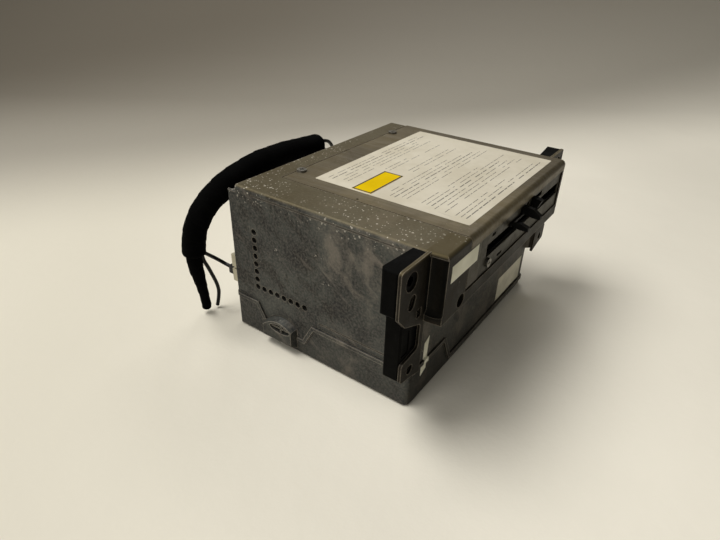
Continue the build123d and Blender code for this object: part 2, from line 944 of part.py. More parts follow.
def seal_sticker():
    """Strip that is bent over the raised rim of the base."""
    x0 = left(seal_left)
    x1 = x0 + seal_width
    kink = seal_bottom + seal_height * 0.45
    top = seal_bottom + seal_height
    outline = [(x0, seal_bottom), (x1, seal_bottom + 3), (x1, kink + 2), (x1 + 1, top),
               (x0 + 1.5, top - 3), (x0 + 1.5, kink), (x0, kink - 4)]
    skin = lower_y - label_thickness
    rim = lower_y - bead_out
    strip = slab_y(outline, rim - label_thickness, lower_y)
    low = split_high - bead_width
    strip -= block(x0 - 1, x1 + 2, rim - 1, skin, seal_bottom - 1, low - label_thickness)
    strip -= block(x0 - 1, x1 + 2, rim - 1, skin, split_high + label_thickness, top + 1)
    return strip - block(x0 - 1, x1 + 2, rim, lower_y + 1, low, split_high)


def base_badge():
    x1 = half_width - badge_right_gap
    return block(x1 - badge_width, x1, lower_y - label_thickness, lower_y,
                 badge_bottom, badge_bottom + badge_height)


# Disc drive


def plate_bounds():
    return (left(plate_left), half_width - wall - fit_gap, plate_y, plate_y + plate_thickness,
            lip_top, cover_lip_bottom - 0.6)


def front_plate_screw():
    across, up = plate_screw_at
    return left(plate_left + across), lip_top + up


def drive_front_plate():
    x0, x1, y0, y1, z0, z1 = plate_bounds()
    body = block(*plate_bounds())
    half = plate_slot_height / 2
    body -= block(slot_x - slot_width / 2, slot_x + slot_width / 2, y0 - 1, y1 + 1,
                  disc_z - half, disc_z + half)
    for distance, rise, wide, tall in plate_windows:
        x = left(distance)
        z = disc_z + rise
        body -= block(x - wide / 2, x + wide / 2, y0 - 1, y1 + 1, z - tall / 2, z + tall / 2)
    x, z = front_plate_screw()
    body -= bar_y(x, y0 - 1, y1 + 1, z, screw_radius + bearing_gap)
    a = x0 + 2 * sheet
    b = x1 - 2 * sheet
    body += block(a, b, y1, chassis_y0 + sheet, z0, z0 + sheet)
    return body + block(a, b, chassis_y0, chassis_y0 + sheet, chassis_floor_z + sheet, z0)


def slot_felts():
    x0 = slot_x - slot_width / 2 - 1
    x1 = slot_x + slot_width / 2 + 0.4
    y0 = plate_y + plate_thickness
    half = plate_slot_height / 2 + felt_lap
    low = block(x0, x1, y0, y0 + felt_thickness, disc_z - half, disc_low)
    high = block(x0, x1, y0, y0 + felt_thickness, disc_high, disc_z + half)
    return low, high


def slot_claws():
    """Bar above the slot with two long horns, the right one on a tall root, and a short end horn."""
    z0 = disc_z + plate_slot_height / 2
    y0 = plate_y - claw_bar_thickness
    tip_y = ear_y - front_reach
    end_x = left(end_claw_x)
    body = block(left(claw_x[0]) - claw_bar_overhang, end_x + claw_bar_overhang,
                 y0, plate_y, z0, z0 + claw_bar_height)
    for distance, root_top in zip(claw_x, (claw_low_top, claw_top)):
        x = left(distance)
        tip_z = z0 - claw_tip_drop
        horn = [(plate_y, z0), (plate_y, z0 + root_top), (y0, z0 + root_top)]
        horn += [(y0 - claw_flat, z0 + (claw_top + root_top) / 2 - claw_tip_drop / 2)]
        horn += [(tip_y, tip_z + claw_tip_height), (tip_y, tip_z), (y0 - claw_flat, tip_z - touch)]
        horn += [(y0, z0)]
        body += slab_x(horn, x - claw_thickness / 2, x + claw_thickness / 2)
    x = left(claw_x[1]) + claw_thickness / 2
    body += block(x - claw_root_width, x, y0, plate_y, z0, z0 + claw_top)
    end_y = front_y - end_claw_reach
    horn = [(plate_y, z0), (plate_y, z0 + end_claw_top), (end_y, z0 + end_claw_top - claw_tip_drop)]
    horn += [(end_y + claw_tip_height, z0)]
    half = end_claw_thickness / 2
    return body + slab_x(horn, end_x - half, end_x + half)


def chassis_window():
    half = rod_spread - sled_side
    sled_x0 = sled_bounds()[0]
    sled_travel = sled_x0 - rod_ends()[0] - sled_end_gap
    middle = sled_x0 + sled_length / 2
    return block(middle - sled_travel, slot_x + spindle_motor_radius - wall,
                 disc_y - half, disc_y + half, chassis_floor_z - 1, chassis_floor_z + sheet + 1)


def drive_chassis():
    z0 = chassis_floor_z
    body = block(chassis_x0, chassis_x1, chassis_y0, chassis_y1, z0, z0 + sheet)
    body += block(chassis_x0, chassis_x0 + sheet, chassis_y0, chassis_y1, z0, chassis_top)
    body += block(chassis_x1 - sheet, chassis_x1, chassis_y0, chassis_y1, z0, chassis_top)
    body += block(chassis_x0, chassis_x1, chassis_y1 - sheet, chassis_y1, z0, chassis_top)
    body -= chassis_window()
    for bracket in clamp_brackets():
        body += bracket
    for x in (chassis_x0, chassis_x1 - sheet):
        body -= bar_x(x - 1, x + sheet + 1, roller_y, roller_z, roller_shaft_radius + bearing_gap)
    return body


def damper_places():
    dx, dy = damper_inset
    return [(x, y) for x in (chassis_x0 + dx, chassis_x1 - dx)
            for y in (carrier_y0 + dy, carrier_y1 - dy)]


def drive_carrier():
    inner = half_width - wall - fit_gap
    body = block(-inner, inner, carrier_y0, carrier_y1,
                 carrier_z, carrier_z + sheet)
    near, middle, far = carrier_window_inset
    wide, deep = carrier_window
    for x in (left(near), left(middle), half_width - far):
        body -= block(x - wide / 2, x + wide / 2, disc_y - deep / 2, disc_y + deep / 2,
                      carrier_z - 1, carrier_z + sheet + 1)
    for x, y in carrier_screw_places() + bracket_screw_places():
        body -= bar_z(x, y, carrier_z - 1, carrier_z + sheet + 1, screw_radius + bearing_gap)
    return body


def carrier_screw_places():
    x = half_width - wall - screw_head_radius - fit_gap
    near, far = carrier_screw_inset
    return [(sx * x, y) for sx in (-1, 1) for y in (carrier_y0 + near, carrier_y1 - far)]


def rubber_mounts():
    """Four dampers under the disc drive and four grommets under the hard drive."""
    dampers = [bar_z(x, y, carrier_z + sheet, chassis_floor_z, damper_radius)
               for x, y in damper_places()]
    return dampers + [bar_z(x, y, disk_z - grommet_height, disk_z, grommet_radius)
                      for x, y in grommet_places()]


def table_z():
    """Height of the face that the disc rests on while the traverse is lowered."""
    return disc_low - hub_height - fit_gap


def turntable():
    z1 = table_z()
    body = bar_z(slot_x, disc_y, z1 - table_height, z1, table_radius)
    hub = Pos(slot_x, disc_y, z1 + hub_height / 2) * Cone(hub_radius, hub_radius - 1, hub_height)
    body += hub
    body -= bar_z(slot_x, disc_y, z1 - table_height - 1, z1 + hub_height + 1,
                  spindle_radius + bearing_gap)
    return body


def spindle_motor():
    z1 = table_z() - table_height - motor_stud
    z0 = traverse_top()
    body = bar_z(slot_x, disc_y, z0, z1, spindle_motor_radius)
    body += bar_z(slot_x, disc_y, z0, table_z() + hub_height - fit_gap, spindle_radius)
    return body


def traverse_top():
    return chassis_floor_z + sheet + 0.6


def traverse_frame():
    """Plate that carries the spindle motor, the rods and the lead screw."""
    z0 = chassis_floor_z + sheet
    z1 = traverse_top()
    x0 = rod_ends()[0] - rod_post
    x1 = slot_x + spindle_motor_radius + 6
    y0 = disc_y - rod_spread - 5
    y1 = screw_axis_y + 8
    body = block(x0, x1, y0, y1, z0, z1)
    sled_window = block(x0 + rod_post + 4, slot_x - spindle_motor_radius - 3,
                        disc_y - rod_spread + 4, disc_y + rod_spread - 4, z0 - 1, z1 + 1)
    body -= sled_window
    a, b = rod_ends()
    for y in (disc_y - rod_spread, disc_y + rod_spread):
        for x in (a - rod_post, b):
            post = block(x, x + rod_post, y - 3, y + 3, z1, rod_z + 3)
            body += post
    y = screw_axis_y
    body += block(a - rod_post, a, y - 3, y + 3, z1, rod_z + 3)
    body -= bar_x(a - rod_post - 1, a + 1, y, rod_z, rod_radius + bearing_gap)
    for side in (-1, 1):
        y = disc_y + side * rod_spread
        body -= bar_x(a - rod_post - 1, b + rod_post + 1, y, rod_z, rod_radius)
    return body


def rod_ends():
    """Inner faces of the posts that hold the guide rods."""
    return chassis_x0 + rod_wall_gap + rod_post, slot_x - rod_hub_gap


def guide_rods():
    a, b = rod_ends()
    return [bar_x(a - rod_post, b + rod_post, disc_y + side * rod_spread, rod_z, rod_radius)
            for side in (-1, 1)]


def sled_bounds():
    x1 = slot_x - sled_inner + sled_length / 2
    return (x1 - sled_length, x1, disc_y - rod_spread - sled_side, disc_y + rod_spread + sled_side,
            rod_z - sled_height / 2, rod_z + sled_height / 2)


def pickup_sled():
    x0, x1, y0, y1, z0, z1 = sled_bounds()
    body = block(x0, x1, y0, y1, z0, z1)
    for side in (-1, 1):
        body -= bar_x(x0 - 1, x1 + 1, disc_y + side * rod_spread, rod_z, rod_radius + bearing_gap)
    nut_x = (x0 + x1) / 2
    body += block(nut_x - 4, nut_x + 4, y1 - touch, screw_axis_y + nut_side,
                  rod_z - nut_side, rod_z + nut_side)
    body -= bar_x(nut_x - 5, nut_x + 5, screw_axis_y, rod_z, rod_radius + bearing_gap)
    return body


def pickup_lens():
    x0, x1, y0, y1, z0, z1 = sled_bounds()
    x = (x0 + x1) / 2
    body = bar_z(x, disc_y, z1, z1 + lens_height, lens_radius + 1)
    return body - bar_z(x, disc_y, z1 + lens_height - 0.6, z1 + lens_height + 1, lens_radius)


def screw_motor_x():
    x0, x1 = sled_bounds()[:2]
    return (x0 + x1) / 2 + 6.0


def lead_screw():
    a, b = rod_ends()
    return bar_x(a - rod_post, screw_motor_x() + 4, screw_axis_y, rod_z, rod_radius)


def sled_motor():
    x0 = screw_motor_x()
    body = bar_x(x0, x0 + sled_motor_length, screw_axis_y, rod_z, sled_motor_radius)
    body += block(x0 + 1, x0 + sled_motor_length - 1, screw_axis_y - 3, screw_axis_y + 3,
                  traverse_top(), rod_z)
    return body - bar_x(x0 - 1, x0 + 4 + fit_gap, screw_axis_y, rod_z, rod_radius + bearing_gap)


def arm_z():
    """Underside of the clamp arm while it is lifted."""
    return disc_high + touch + clamp_height + clamp_float


def clamp_arm():
    z0 = arm_z()
    z1 = z0 + sheet
    y1 = arm_pin_y
    body = block(slot_x - arm_width / 2, slot_x + arm_width / 2, disc_y, y1 + arm_lug, z0, z1)
    body += bar_z(slot_x, disc_y, z0, z1, arm_width / 2)
    half = arm_pin_length / 2
    for side in (-1, 1):
        x = slot_x + side * (arm_width / 2 - 1.5)
        body += block(x - 1.5, x + 1.5, y1 - arm_lug, y1 + arm_lug, z0, arm_pin_z() + arm_pin_rise)
    body -= bar_z(slot_x, disc_y, z0 - 1, z1 + 1, clamp_neck_radius + clamp_neck_gap)
    body -= bar_x(slot_x - half, slot_x + half, y1, arm_pin_z(), arm_pin_radius + bearing_gap)
    return body


def arm_pin_z():
    return arm_z() + sheet + arm_pin_rise


def clamp_pin():
    half = arm_pin_length / 2
    return bar_x(slot_x - half, slot_x + half, arm_pin_y, arm_pin_z(), arm_pin_radius)


def clamp_brackets():
    """Two sheet ears on the chassis back flange that hold the clamp pin."""
    y0 = arm_pin_y - arm_lug
    z = arm_pin_z()
    sides = []
    for side in (-1, 1):
        x = slot_x + side * (arm_pin_length / 2 - 2)
        ear = block(x - sheet / 2, x + sheet / 2, y0, chassis_y1 - sheet / 2, z - arm_lug, z + arm_lug)
        sides.append(ear - bar_x(x - sheet, x + sheet, arm_pin_y, z, arm_pin_radius))
    return sides


def clamp_disc():
    z0 = disc_high + touch
    body = bar_z(slot_x, disc_y, z0, z0 + clamp_height, clamp_radius)
    neck_top = arm_z() + sheet + clamp_float
    body += bar_z(slot_x, disc_y, z0, neck_top, clamp_neck_radius)
    body += bar_z(slot_x, disc_y, neck_top, neck_top + clamp_cap_height, clamp_cap_radius)
    return body - bar_z(slot_x, disc_y, z0 - 1, z0 + 1, hub_radius + fit_gap)


def gear(teeth, x0, y, z, bore, turn=0.0):
    """Spur gear with straight-sided teeth, its axis along X."""
    pitch_radius = gear_module * teeth / 2
    tip = pitch_radius + 0.8 * gear_module
    root = pitch_radius - 1.1 * gear_module
    step = math.tau / teeth
    outline = []
    for i in range(teeth):
        middle = i * step + turn
        base = step * tooth_share * 0.80
        crest = step * tooth_share * 0.35
        for radius, offset in ((root, -base), (tip, -crest), (tip, crest), (root, base)):
            angle = middle + offset
            outline.append((y + radius * math.cos(angle), z + radius * math.sin(angle)))
    wheel = slab_x(outline, x0, x0 + gear_face)
    return wheel - bar_x(x0 - 1, x0 + gear_face + 1, y, z, bore)


def mesh_place(y, z, teeth_a, teeth_b, degrees):
    """Centre of a gear that meshes with the one at y and z."""
    reach = gear_module * (teeth_a + teeth_b) / 2 + 0.1
    turn = math.radians(degrees)
    return y + reach * math.cos(turn), z + reach * math.sin(turn)


def idler_place():
    return mesh_place(roller_y, roller_z, roller_teeth, idler_teeth, 0)


def pinion_place():
    return mesh_place(*idler_place(), idler_teeth, pinion_teeth, pinion_drop)


def roller_shaft():
    return bar_x(chassis_x0 - 1, chassis_x1, roller_y, roller_z, roller_shaft_radius)


def feed_roller():
    half = slot_width / 2 - roller_end_gap
    body = bar_x(slot_x - half, slot_x + half, roller_y, roller_z, roller_radius)
    return body - bar_x(slot_x - half - 1, slot_x + half + 1, roller_y, roller_z, roller_shaft_radius)


def roller_gear():
    return gear(roller_teeth, gear_x, roller_y, roller_z, roller_shaft_radius)


def idler_gear():
    y, z = idler_place()
    return gear(idler_teeth, gear_x, y, z, roller_shaft_radius + bearing_gap, idler_turn())


def idler_turn():
    """Angle that puts a gap of the idler on the roller gear's tooth."""
    return math.pi + math.pi / idler_teeth


def idler_axle():
    y, z = idler_place()
    body = bar_x(chassis_x0 + sheet, gear_x + gear_face + 1.4, y, z, roller_shaft_radius)
    body += bar_x(chassis_x0 + sheet, gear_x - 0.4, y, z, roller_shaft_radius + 1)
    return body + bar_x(gear_x + gear_face + 0.4, gear_x + gear_face + 1.4, y, z,
                        roller_shaft_radius + 1)


def motor_pinion():
    """Pinion on its shaft, turned so that it meshes with the idler at rest."""
    y, z = pinion_place()
    direction = math.radians(pinion_drop)
    phase = (direction - idler_turn()) * idler_teeth / math.tau
    turn = direction + math.pi + (phase + 0.5) * math.tau / pinion_teeth
    shaft = bar_x(gear_x - 0.5, gear_x + gear_face + 4.5, y, z, spindle_radius)
    return gear(pinion_teeth, gear_x, y, z, spindle_radius, turn) + shaft


def loading_motor():
    y, z = pinion_place()
    x0 = gear_x + gear_face + 2
    body = bar_x(x0, x0 + load_motor_length, y, z, load_motor_radius)
    body += block(x0 + 2, x0 + load_motor_length - 2, y - 4, y + 4, chassis_floor_z + sheet, z)
    return body - bar_x(x0 - 1, x0 + 3, y, z, spindle_radius + bearing_gap)


# Hard drive


def disk_bounds():
    x0 = disk_x - disk_width / 2
    y0 = back(disk_setback)
    return x0, x0 + disk_width, y0, y0 + disk_length, disk_z, disk_z + disk_height


def hard_drive():
    x0, x1, y0, y1, z0, z1 = disk_bounds()
    y1 = min(y1, carrier_y1 - 2)
    body = block(x0, x1, y0, y1, z0, z1)
    body = chamfer(body.edges().filter_by(Axis.Z), 2.0)
    ring = block(x0 + 3, x1 - 3, y0 + 3, y1 - 14, z1 - 0.5, z1 + 1)
    ring -= block(x0 + 4, x1 - 4, y0 + 4, y1 - 15, z1 - 1, z1 + 2)
    return body - ring


def grommet_places():
    x0, x1, y0, y1, z0, z1 = disk_bounds()
    y1 = min(y1, carrier_y1 - 2)
    return [(x, y) for x in (x0 + 6, x1 - 6) for y in (y0 + 10, y1 - 18)]


def bracket_screw_places():
    x0, x1, y0, y1, z0, z1 = disk_bounds()
    return [(x, y) for x in (x0 - 8, x1 + 8) for y in (y0 + 12, carrier_y1 - 14)]


def disk_bracket():
    """Sheet tray that hangs from the carrier and holds the hard drive."""
    x0, x1, y0, y1, z0, z1 = disk_bounds()
    y1 = carrier_y1 - 4
    a = x0 - bracket_gap - sheet
    b = x1 + bracket_gap + sheet
    floor_z = disk_z - grommet_height - sheet
    body = block(a, b, y0 + 4, y1, floor_z, floor_z + sheet)
    body += block(a, a + sheet, y0 + 4, y1, floor_z, carrier_z)
    body += block(b - sheet, b, y0 + 4, y1, floor_z, carrier_z)
    body += block(a - 12, a + sheet, y0 + 4, y1, carrier_z - sheet, carrier_z)
    body += block(b - sheet, b + 12, y0 + 4, y1, carrier_z - sheet, carrier_z)
    for x, y in bracket_screw_places():
        body -= bar_z(x, y, carrier_z - sheet - 1, carrier_z + 1, screw_radius + bearing_gap)
    return body


# Electronics


def main_board():
    x0, x1, y0, y1 = board_bounds()
    body = block(x0, x1, y0, y1, board_z, board_top)
    for x, y in board_posts():
        body -= bar_z(x, y, board_z - 1, board_top + 1, screw_radius + bearing_gap)
    return body


def shield_can(x, y, wide, deep):
    z1 = board_top + can_height
    outer = block(x - wide / 2, x + wide / 2, y - deep / 2, y + deep / 2, board_top, z1)
    inner = block(x - wide / 2 + can_wall, x + wide / 2 - can_wall, y - deep / 2 + can_wall,
                  y + deep / 2 - can_wall, board_top - 1, z1 - can_wall)
    return outer - inner


def shield_cans():
    """Four cans between the board's edges, the heat sink and the tuner."""
    x0, x1, y0, y1 = board_bounds()
    sink_x0 = chip_x - sink_side / 2
    sink_x1 = chip_x + sink_side / 2
    left_gap, right_gap, far_gap = can_chip_gap
    front_row, right_row, rear_row = can_rows
    tuner_y0 = panel_y - tuner_panel_gap - tuner_depth
    spans = [(x0 + can_edge, sink_x0 - left_gap, back(front_row[0]), back(front_row[1])),
             (x0 + can_edge, sink_x0 - left_gap, back(front_row[1]) + can_row_gap,
              tuner_y0 - board_rear_gap),
             (sink_x1 + right_gap, x1 - can_edge, back(right_row[0]), back(right_row[1])),
             (sink_x1 + far_gap, x1 - can_edge, back(rear_row[0]), back(rear_row[1]))]
    return [shield_can((a + b) / 2, (c + d) / 2, b - a, d - c) for a, b, c, d in spans]


def processor():
    half = chip_side / 2
    y = back(chip_setback)
    return block(chip_x - half, chip_x + half, y - half, y + half, board_top, board_top + chip_height)


def thermal_pad():
    half = chip_side / 2 - 1
    y = back(chip_setback)
    z0 = board_top + chip_height
    return block(chip_x - half, chip_x + half, y - half, y + half, z0, z0 + pad_height)


def heat_sink():
    half = sink_side / 2
    y = back(chip_setback)
    z0 = board_top + chip_height + pad_height
    body = block(chip_x - half, chip_x + half, y - half, y + half, z0, z0 + sink_base)
    pitch = (sink_side - sink_fin) / (sink_fins - 1)
    for i in range(sink_fins):
        x = chip_x - half + i * pitch
        body += block(x, x + sink_fin, y - half, y + half, z0, z0 + sink_height)
    return body


def capacitors():
    y = panel_y - header_inside - capacitor_gap
    first = chip_x - capacitor_pitch * (capacitor_count - 1) / 2
    return [bar_z(first + i * capacitor_pitch, y, board_top, board_top + capacitor_height,
                  capacitor_radius) for i in range(capacitor_count)]


def tuner_module():
    x0 = left(tuner_from_left)
    x1 = x0 + tuner_width
    y1 = panel_y - tuner_panel_gap
    z0 = board_top + tuner_lift
    body = block(x0, x1, y1 - tuner_depth, y1, z0, carrier_z - tuner_gap)
    for x in (x0 + 3, x1 - 3):
        for y in (y1 - 8, y1 - tuner_depth + 6):
            body += block(x - 1.5, x + 1.5, y - 1.5, y + 1.5, board_top, z0)
    return body


# Rear connectors


def main_header():
    x0, x1, z0, z1 = header_bounds()
    y0 = panel_y - header_inside
    body = block(x0, x1, y0, header_back, z0, z1)
    body -= block(x0 + header_wall, x1 - header_wall, header_back - header_cavity,
                  header_back + 1, z0 + header_wall, z1 - header_wall)
    for x, z in pin_places():
        body -= block(x - pin_side / 2, x + pin_side / 2, header_back - header_cavity - pin_root,
                      header_back, z - pin_side / 2, z + pin_side / 2)
    return body


def pin_places():
    x0, x1, z0, z1 = header_bounds()
    first_x = (x0 + x1) / 2 - pin_pitch * (pin_columns - 1) / 2
    first_z = (z0 + z1) / 2 - pin_pitch * (pin_rows - 1) / 2
    return [(first_x + i * pin_pitch, first_z + k * pin_pitch)
            for i in range(pin_columns) for k in range(pin_rows)]


def header_pins():
    y0 = header_back - header_cavity - pin_root
    half = pin_side / 2
    return [block(x - half, x + half, y0, y0 + pin_length, z - half, z + half)
            for x, z in pin_places()]


def plug_back():
    return header_back + plug_tail


def harness_plug():
    x0, x1, z0, z1 = header_bounds()
    gap = header_wall + fit_gap
    y0 = header_back - header_cavity
    body = block(x0 + gap, x1 - gap, y0, header_back, z0 + gap, z1 - gap)
    hood = block(x0 + 1, x1 - 1, header_back, plug_back(), z0 + 1, z1 - 1)
    body += chamfer(hood.edges().group_by(Axis.Y)[-1], 3.0)
    body += block(header_x - plug_latch / 2, header_x + plug_latch / 2, header_back,
                  plug_back() - 4, z1 - 1, z1 + 2)
    for x, z in pin_places():
        body -= block(x - pin_side, x + pin_side, y0 - 1, y0 + 8, z - pin_side, z + pin_side)
    return body


def coax_sockets():
    x0, x1, z0, z1 = coax_bounds()
    body = block(x0, x1, panel_y - 3, header_back, z0, z1)
    for i in range(2):
        z = coax_low_z + i * coax_pitch
        body -= bar_y(coax_x, header_back - coax_bore_depth, header_back + 1, z, coax_bore_radius)
        body -= bar_z(coax_x, header_back - 3, z0 + i * coax_pitch - 1, z0 + i * coax_pitch, 1)
    middle = (z0 + z1) / 2
    body -= block(x0 - 1, x1 + 1, rear_y + 2, header_back + 1, middle - 1, middle + 1)
    return body


def antenna_plug():
    y0 = header_back - coax_bore_depth
    body = bar_y(coax_x, y0, header_back, coax_low_z, coax_plug_radius)
    half = coax_plug_head
    body += block(coax_x - half, coax_x + half, header_back, header_back + coax_plug_tail,
                  coax_low_z - half, coax_low_z + half)
    return body


# Fan


def fan_screw_places():
    reach = fan_side / 2 - 4
    return [(fan_x + sx * reach, fan_z + sz * reach) for sx in (-1, 1) for sz in (-1, 1)]


def fan_frame():
    half = fan_side / 2
    y0 = panel_y - fan_depth
    body = block(fan_x - half, fan_x + half, y0, panel_y, fan_z - half, fan_z + half)
    body = fillet(body.edges().filter_by(Axis.Y), 4.0)
    body -= bar_y(fan_x, y0 - 1, panel_y + 1, fan_z, fan_bore)
    body += bar_y(fan_x, y0, y0 + 2, fan_z, fan_hub)
    for i in range(fan_spokes):
        turn = 90 + 360 * i / fan_spokes
        spoke = Pos(0, 0, fan_bore / 2) * Box(2.4, 2, fan_bore + 2)
        body += Pos(fan_x, y0 + 1, fan_z) * Rot(0, turn, 0) * spoke
    body += bar_y(fan_x, y0, panel_y - 4, fan_z, roller_shaft_radius)
    for x, z in fan_screw_places():
        body -= bar_y(x, y0 - 1, panel_y + 1, z, screw_radius + bearing_gap)
    return body


def fan_rotor():
    y0 = panel_y - fan_depth + 2 + fit_gap * 2
    y1 = panel_y - 2
    body = bar_y(fan_x, y0, y1, fan_z, fan_hub)
    reach = fan_bore - fan_blade_gap
    blade = Pos(0, 0, (fan_hub + reach) / 2 - 0.5)
    blade *= Rot(0, 0, fan_blade_pitch) * Box(fan_blade_thickness, y1 - y0, reach - fan_hub + 1)
    blade &= block(-fan_bore, fan_bore, -(y1 - y0) / 2 + 0.5, (y1 - y0) / 2 - 0.5, 0, fan_bore)
    for i in range(fan_blades):
        turn = 360 * i / fan_blades
        body += Pos(fan_x, (y0 + y1) / 2, fan_z) * Rot(0, turn, 0) * blade
    body &= bar_y(fan_x, y0, y1, fan_z, reach)
    body -= bar_y(fan_x, y0 - 1, panel_y - 4 + fit_gap, fan_z, roller_shaft_radius + bearing_gap)
    return body


# Fasteners


def screw_down(x, y, seat, length, wide=screw_head_radius, high=screw_head):
    """Screw along Z whose head rests on the face at height seat."""
    head = bar_z(x, y, seat, seat + high, wide)
    reach = wide * 0.6
    half = screw_slot / 2
    low = seat + high - screw_head + screw_recess
    head -= block(x - reach, x + reach, y - half, y + half, low, seat + high + 1)
    head -= block(x - half, x + half, y - reach, y + reach, low, seat + high + 1)
    return head + bar_z(x, y, seat - length, seat, screw_radius)


def screw_front(x, z, seat, length, outward):
    """Screw along Y; outward is -1 for a head that faces the front."""
    tip = seat - outward * length
    end = seat + outward * screw_head
    head = bar_y(x, min(seat, end), max(seat, end), z, screw_head_radius)
    near = seat + outward * screw_recess
    far = end + outward
    y0, y1 = min(near, far), max(near, far)
    reach = screw_head_radius * 0.6
    half = screw_slot / 2
    head -= block(x - reach, x + reach, y0, y1, z - half, z + half)
    head -= block(x - half, x + half, y0, y1, z - reach, z + reach)
    return head + bar_y(x, min(seat, tip), max(seat, tip), z, screw_radius)


def cover_screws():
    return [screw_down(x, y, case_height, cover_screw_length, cover_screw_head_radius,
                       cover_screw_head) for x, y in cover_screw_places()]


def base_screws():
    solids = []
    for x, y in base_screw_places():
        screw = screw_down(x, -y, -base_screw_seat, base_screw_length)
        solids.append(Rot(180, 0, 0) * screw)
    return solids


def inner_screws():
    """Screws of the board, the carrier and the hard drive's bracket."""
    solids = [screw_down(x, y, board_top, board_screw_length) for x, y in board_posts()]
    seat = carrier_z + sheet
    solids += [screw_down(x, y, seat, sheet + ledge_drop) for x, y in carrier_screw_places()]
    return solids + [screw_down(x, y, seat, 2 * sheet + 1) for x, y in bracket_screw_places()]


def rear_screws():
    seat = panel_y + panel_thickness
    solids = [screw_front(x, z, seat, panel_screw_length, 1) for x, z in panel_screw_places()]
    return solids + [screw_front(x, z, seat, fan_screw_length, 1) for x, z in fan_screw_places()]


def plate_screw():
    x, z = front_plate_screw()
    return screw_front(x, z, plate_y, plate_screw_length, -1)


# Cable loom: hand-picked points, from the case's left side, its rear face and the floor

trunk_route = [(104, 10.1, 103.8), (84, 10.4, 106), (62, 10, 107.5), (42, 10.8, 106.5),
               (24, 12.8, 102.6), (9, 15.3, 96.4), (-3, 18.3, 87.6), (-10, 21.3, 75.5),
               (-12.2, 23.8, 63.5), (-12.6, 24.8, 53)]
tail_bends = [(-11, 25.6, 35.5), (-9.2, 26, 24.8), (-7.4, 26.6, 14), (-6.6, 27.2, 4.4)]
antenna_bends = [(-2.6, 28, 42.3), (1.5, 28.4, 39.6), (5.5, 28.3, 37.2), (10.5, 27.5, 34.4)]
return_bends = [(-3.4, 23.6, 39), (0, 24, 30), (3.4, 24.4, 20.5), (4.6, 25, 11.5),
                (2.2, 26, 2.2)]
lead_a_bends = [(121, 10, 99), (128, 13, 91), (131.5, 17, 80), (132, 22, 68), (131, 28, 57),
                (130, 33, 46), (129, 37.4, 37.5), (128.3, 36.8, 30.4)]
lead_b_bends = [(117, 13, 95), (120, 16, 86), (121.5, 20, 76), (121.5, 25, 65),
                (120.8, 30, 54), (120.3, 34.6, 44), (120, 37.4, 36), (120, 36.8, 30.4)]


def placed(route):
    return [(left(x), rear_y + y, z) for x, y, z in route]


def loose_end(face, inside, offset, run):
    """First two points of a lead that leaves the trunk's end face at right angles."""
    at = Vector(*face)
    way = (at - Vector(*inside)).normalized()
    side = Vector(*offset)
    side -= way * side.dot(way)
    return [tuple(at + side), tuple(at + side + way * run)]


def into_face(x, y, z, run):
    """Last two points of a lead that ends square on a face looking backwards."""
    return [(x, y + run, z), (x, y, z)]


def corner_radii(points):
    """Arc radius at each corner: 0.45 of the shorter run over tan of half the turn."""
    radii = []
    for a, b, c in zip(points, points[1:], points[2:]):
        first = Vector(*b) - Vector(*a)
        second = Vector(*c) - Vector(*b)
        half_turn = math.radians(first.get_angle(second)) / 2
        radii.append(0.45 * min(first.length, second.length) / math.tan(half_turn))
    return radii


def tube(name, route, diameter):
    points = placed(route)
    radii = corner_radii(points)
    path = FilletPolyline(points, radius=radii)
    start = Plane(origin=points[0], z_dir=Vector(*points[1]) - Vector(*points[0]))
    solid = sweep(start * Circle(diameter / 2), path=path)
    expected = math.pi * diameter ** 2 / 4 * path.length
    print(name, "length", round(path.length, 1), "radii", [round(r, 1) for r in radii],
          "volume share", round(solid.volume / expected, 4))
    return solid


lower_face = (trunk_route[-1], trunk_route[-2])
upper_face = (trunk_route[0], trunk_route[1])
plug_face = socket_reach + plug_tail
antenna_face = socket_reach + coax_plug_tail
lead_end_z = header_z + header_height / 2
lead_middle = header_x + half_width
tail_route = loose_end(*lower_face, (0, 0, 0), 7.5) + tail_bends
antenna_route = loose_end(*lower_face, (6.4, 1.9, 0), 5.5) + antenna_bends
antenna_route += into_face(coax_from_left, antenna_face, coax_low_z, 6.0)
return_route = loose_end(*lower_face, (5.6, -1.9, 0), 6.0) + return_bends
lead_a_route = loose_end(*upper_face, (0, -1.5, 3), 9.0) + lead_a_bends
lead_a_route += into_face(lead_middle + lead_spread, plug_face, lead_end_z, 7.0)
lead_b_route = loose_end(*upper_face, (0, 2.5, -3), 7.0) + lead_b_bends
lead_b_route += into_face(lead_middle - lead_spread, plug_face, lead_end_z, 7.0)

# Every sub-part is written to a file of its own

save("upper_housing", upper_housing())
save("base_cover", base_cover())
save("drive_cover", drive_cover())
save("left_guide_block", guide_block())
save("right_guide_block", mirrored(guide_block()))
save("rear_panel", rear_panel())
save("cover_label", cover_label())
save("cover_patch", cover_patch())
save("front_sticker", front_sticker())
save("seal_sticker", seal_sticker())
save("base_badge", base_badge())
save("drive_front_plate", drive_front_plate())
save("slot_felts", *slot_felts())
save("slot_claws", slot_claws())
save("drive_chassis", drive_chassis())
save("drive_carrier", drive_carrier())
save("rubber_mounts", *rubber_mounts())
save("traverse_frame", traverse_frame())
save("spindle_motor", spindle_motor())
save("turntable", turntable())
save("guide_rods", *guide_rods())
save("pickup_sled", pickup_sled())
save("pickup_lens", pickup_lens())
save("lead_screw", lead_screw())
save("drive_motors", sled_motor(), loading_motor())
save("clamp_arm", clamp_arm())
save("drive_pins", clamp_pin(), idler_axle())
save("clamp_disc", clamp_disc())
save("roller_shaft", roller_shaft())
save("feed_roller", feed_roller())
save("roller_gear", roller_gear())
save("idler_gear", idler_gear())
save("motor_pinion", motor_pinion())
